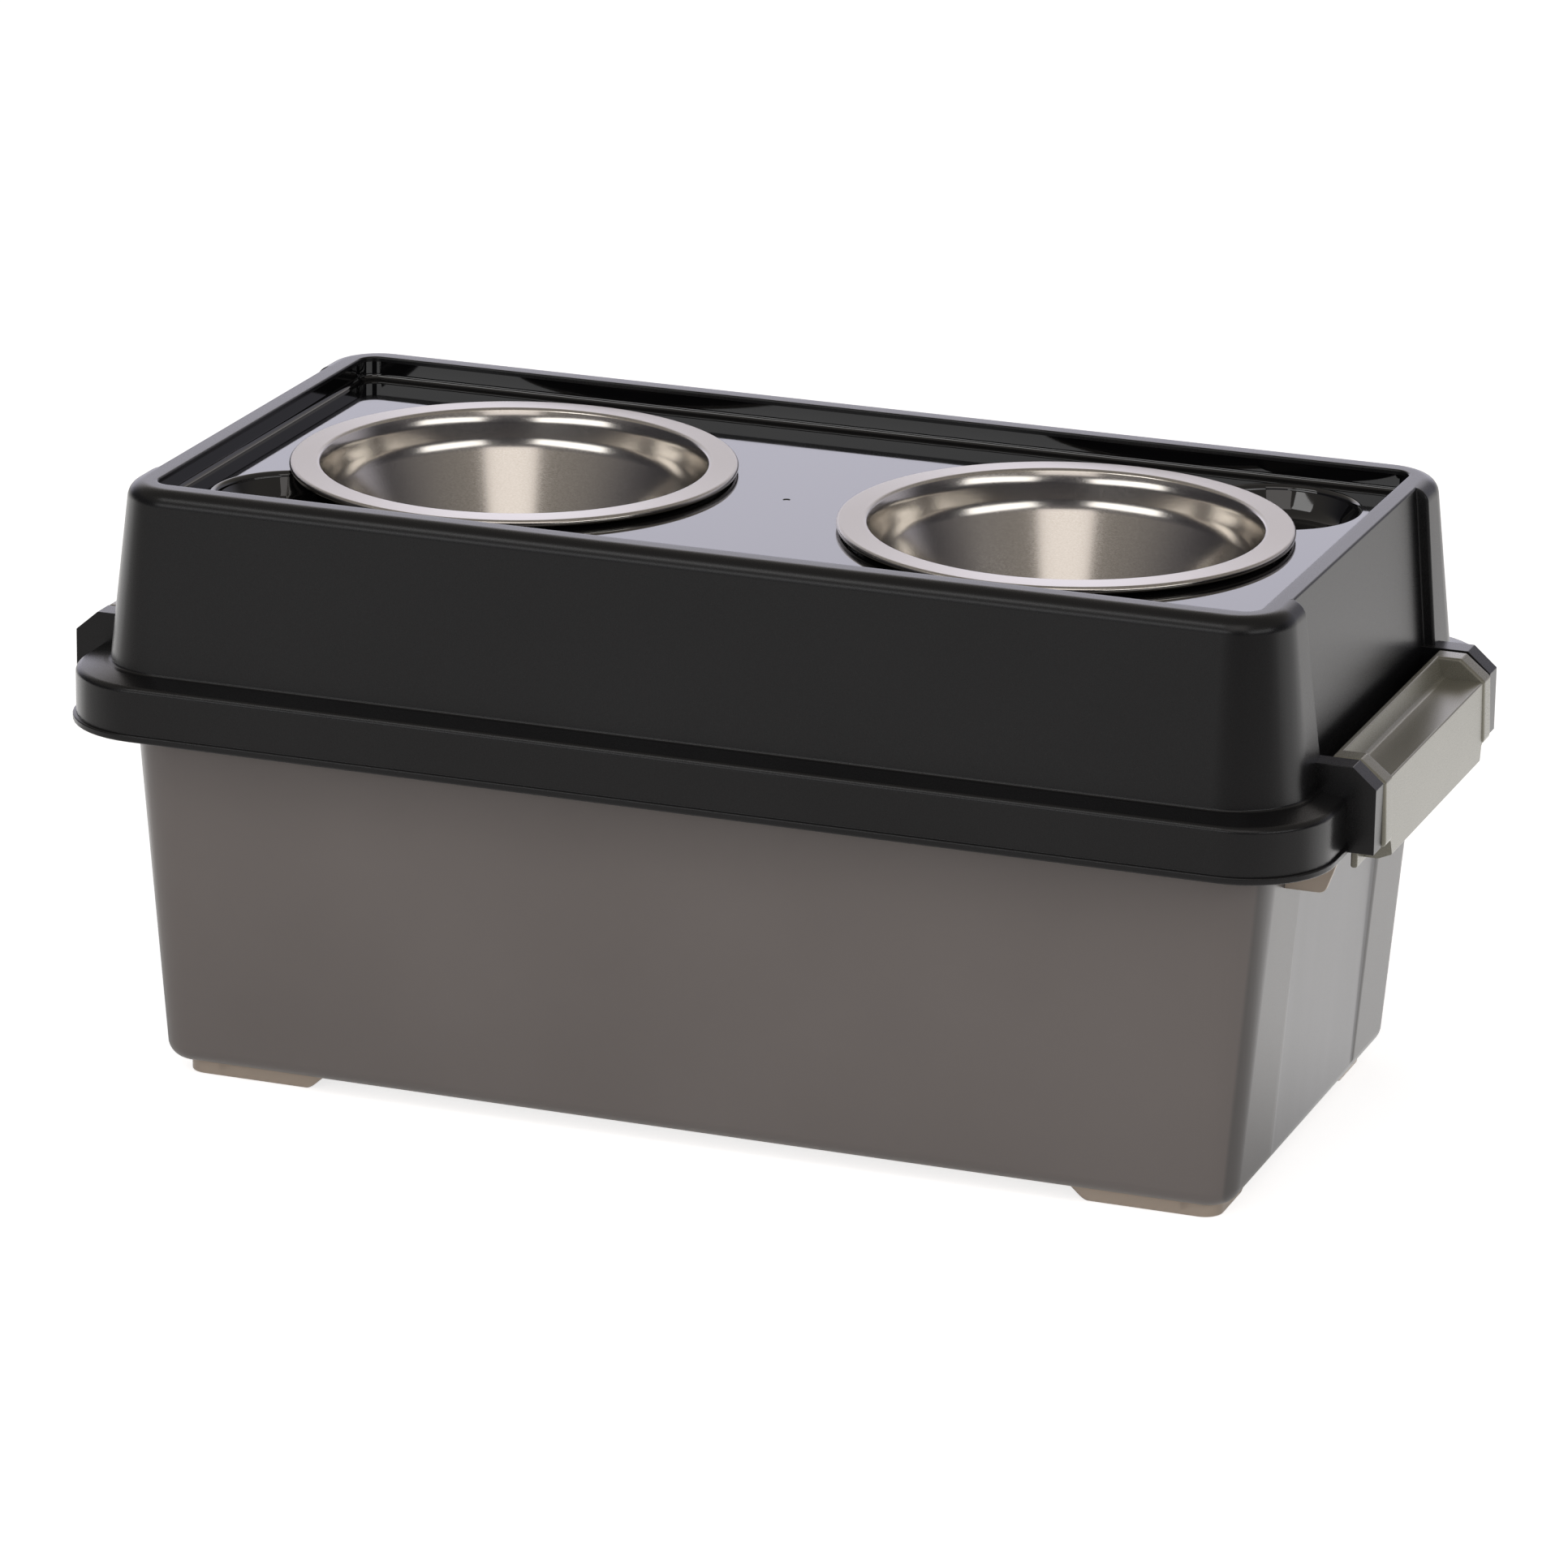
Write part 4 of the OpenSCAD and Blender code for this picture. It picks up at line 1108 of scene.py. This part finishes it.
def spun_steel():
    """Stainless sheet: brushed flat rim, brighter and smoother inside."""
    mat, tree, shader = new_material("spun_steel")
    fine = noise(tree, 900, 4, (1, 1, 4))
    height = axes(tree, own_space(tree))[2]
    rim = ranged(tree, height, (BOWL_Z - 1.2) * MM, (BOWL_Z - 0.2) * MM, 0.0, 1.0)
    tone = mixed(tree, "RGBA", rim, toned(tree, fine, STEEL_INSIDE), toned(tree, fine, STEEL_RIM))
    rough = mixed(tree, "FLOAT", rim, spread(tree, fine, 0.13, 0.19), spread(tree, fine, 0.32, 0.38))
    feed(tree, tone, shader.inputs["Base Color"])
    feed(tree, rough, shader.inputs["Roughness"])
    shader.inputs["Metallic"].default_value = 1.0
    shader.inputs["Anisotropic"].default_value = 0.6
    tangent = tree.nodes.new("ShaderNodeTangent")
    tangent.direction_type = "RADIAL"
    tangent.axis = "Z"
    feed(tree, tangent.outputs["Tangent"], shader.inputs["Tangent"])
    return mat


def champagne():
    """Satin grey-gold moulding with a faint metallic fleck."""
    mat, tree, shader = new_material("champagne")
    fleck = noise(tree, 4000, 2)
    cloud = noise(tree, 12, 2)
    feed(tree, toned(tree, cloud, GREY_GOLD), shader.inputs["Base Color"])
    feed(tree, spread(tree, fleck, 0.24, 0.31), shader.inputs["Roughness"])
    shader.inputs["Metallic"].default_value = 0.3
    return mat


def soft_rubber():
    """Dull dark grey rubber."""
    mat, tree, shader = new_material("soft_rubber")
    grain = noise(tree, 1500)
    feed(tree, toned(tree, grain, RUBBER), shader.inputs["Base Color"])
    feed(tree, spread(tree, grain, 0.6, 0.7), shader.inputs["Roughness"])
    return mat


# Stage
def floor_material():
    """Matt floor, white for the camera. Gloss sees it dark in front of the object, bright beside
    and behind it, and dimmer far behind, with a glow far in front on the left."""
    mat, tree, shader = new_material("floor")
    shader.inputs["Base Color"].default_value = (0.8, 0.8, 0.8, 1)
    shader.inputs["Roughness"].default_value = 0.9
    shader.inputs["Specular IOR Level"].default_value = 0.0
    shader.inputs["Emission Color"].default_value = WHITE
    x, y, _ = axes(tree, tree.nodes.new("ShaderNodeNewGeometry").outputs["Position"])
    front = ranged(tree, y, *FRONT_GLOW_Y, FRONT_GLOW, 0.0)
    glow = product(tree, front, ranged(tree, x, *FRONT_GLOW_X, 1.0, 0.0))
    for start, end, change in FLOOR_GLOW_STEPS:
        glow = calculated(tree, "ADD", glow, ranged(tree, y, start, end, 0.0, change))
    rays = tree.nodes.new("ShaderNodeLightPath").outputs
    lift = mixed(tree, "FLOAT", rays["Is Glossy Ray"], 0.0, glow)
    lift = mixed(tree, "FLOAT", rays["Is Transmission Ray"], lift, FLOOR_LIFT)
    lift = mixed(tree, "FLOAT", rays["Is Camera Ray"], lift, FLOOR_LIFT)
    feed(tree, lift, shader.inputs["Emission Strength"])
    return mat


def add_floor():
    """A wide floor at the height of the feet."""
    corners = [(x * FLOOR_HALF, y * FLOOR_HALF, 0) for x, y in ((-1, -1), (1, -1), (1, 1), (-1, 1))]
    mesh = bpy.data.meshes.new("floor")
    mesh.from_pydata(corners, [], [(0, 1, 2, 3)])
    mesh.materials.append(floor_material())
    floor = bpy.data.objects.new("floor", mesh)
    bpy.context.collection.objects.link(floor)


def add_world():
    """White studio: even for diffuse light. Gloss sees a low bright sweep behind the object,
    dimmer on the right, in a dark room with a lighter ceiling."""
    world = bpy.data.worlds.new("studio")
    bpy.context.scene.world = world
    world.use_nodes = True
    tree = world.node_tree
    back = tree.nodes["Background"]
    x, y, z = axes(tree, tree.nodes.new("ShaderNodeTexCoord").outputs["Generated"])
    rear = ranged(tree, y, *SWEEP_Y, 0.0, 1.0)
    low = ranged(tree, z, *SWEEP_Z, 1.0, SWEEP_TOP)
    left = ranged(tree, x, *SWEEP_X, 1.0, SWEEP_RIGHT)
    sweep = product(tree, product(tree, rear, low), left)
    ceiling = ranged(tree, z, *CEILING_Z, 0.0, 1.0)
    room = ranged(tree, ceiling, 0.0, 1.0, ROOM, CEILING, smooth=False)
    gloss = mixed(tree, "FLOAT", sweep, room, SWEEP)
    rays = tree.nodes.new("ShaderNodeLightPath").outputs
    strength = mixed(tree, "FLOAT", rays["Is Glossy Ray"], AMBIENT, gloss)
    strength = mixed(tree, "FLOAT", rays["Is Camera Ray"], strength, 1.0)
    feed(tree, strength, back.inputs["Strength"])
    tint = colour_ramp(tree, ceiling, ROOM_TINT, CEILING_TINT)
    feed(tree, mixed(tree, "RGBA", rays["Is Camera Ray"], tint, WHITE), back.inputs["Color"])


def add_light(name, azimuth, elevation, size, radiance, colour):
    """A soft box that faces the object."""
    data = bpy.data.lights.new(name, "AREA")
    data.shape = "RECTANGLE"
    data.size, data.size_y = size
    data.energy = radiance * math.pi * size[0] * size[1]
    data.color = colour
    light = bpy.data.objects.new(name, data)
    bpy.context.collection.objects.link(light)
    away = direction(azimuth, elevation)
    light.location = away * LIGHT_AWAY + Vector((0, 0, LIGHT_AIM_Z))
    light.rotation_euler = away.to_track_quat("Z", "Y").to_euler()


add_camera()
make_lid_frame(satin_black())
make_tray(gloss_black())
make_tub(smoky_plastic())
make_seal(soft_rubber())
steel = spun_steel()
make_bowl("bowl_left", -1, "left_bowl", steel)
make_bowl("bowl_right", 1, "right_bowl", steel)
make_latches(champagne())

add_floor()
add_world()
for soft_box in SOFT_BOXES:
    add_light(*soft_box)

view = bpy.context.scene.view_settings
view.view_transform = "Standard"
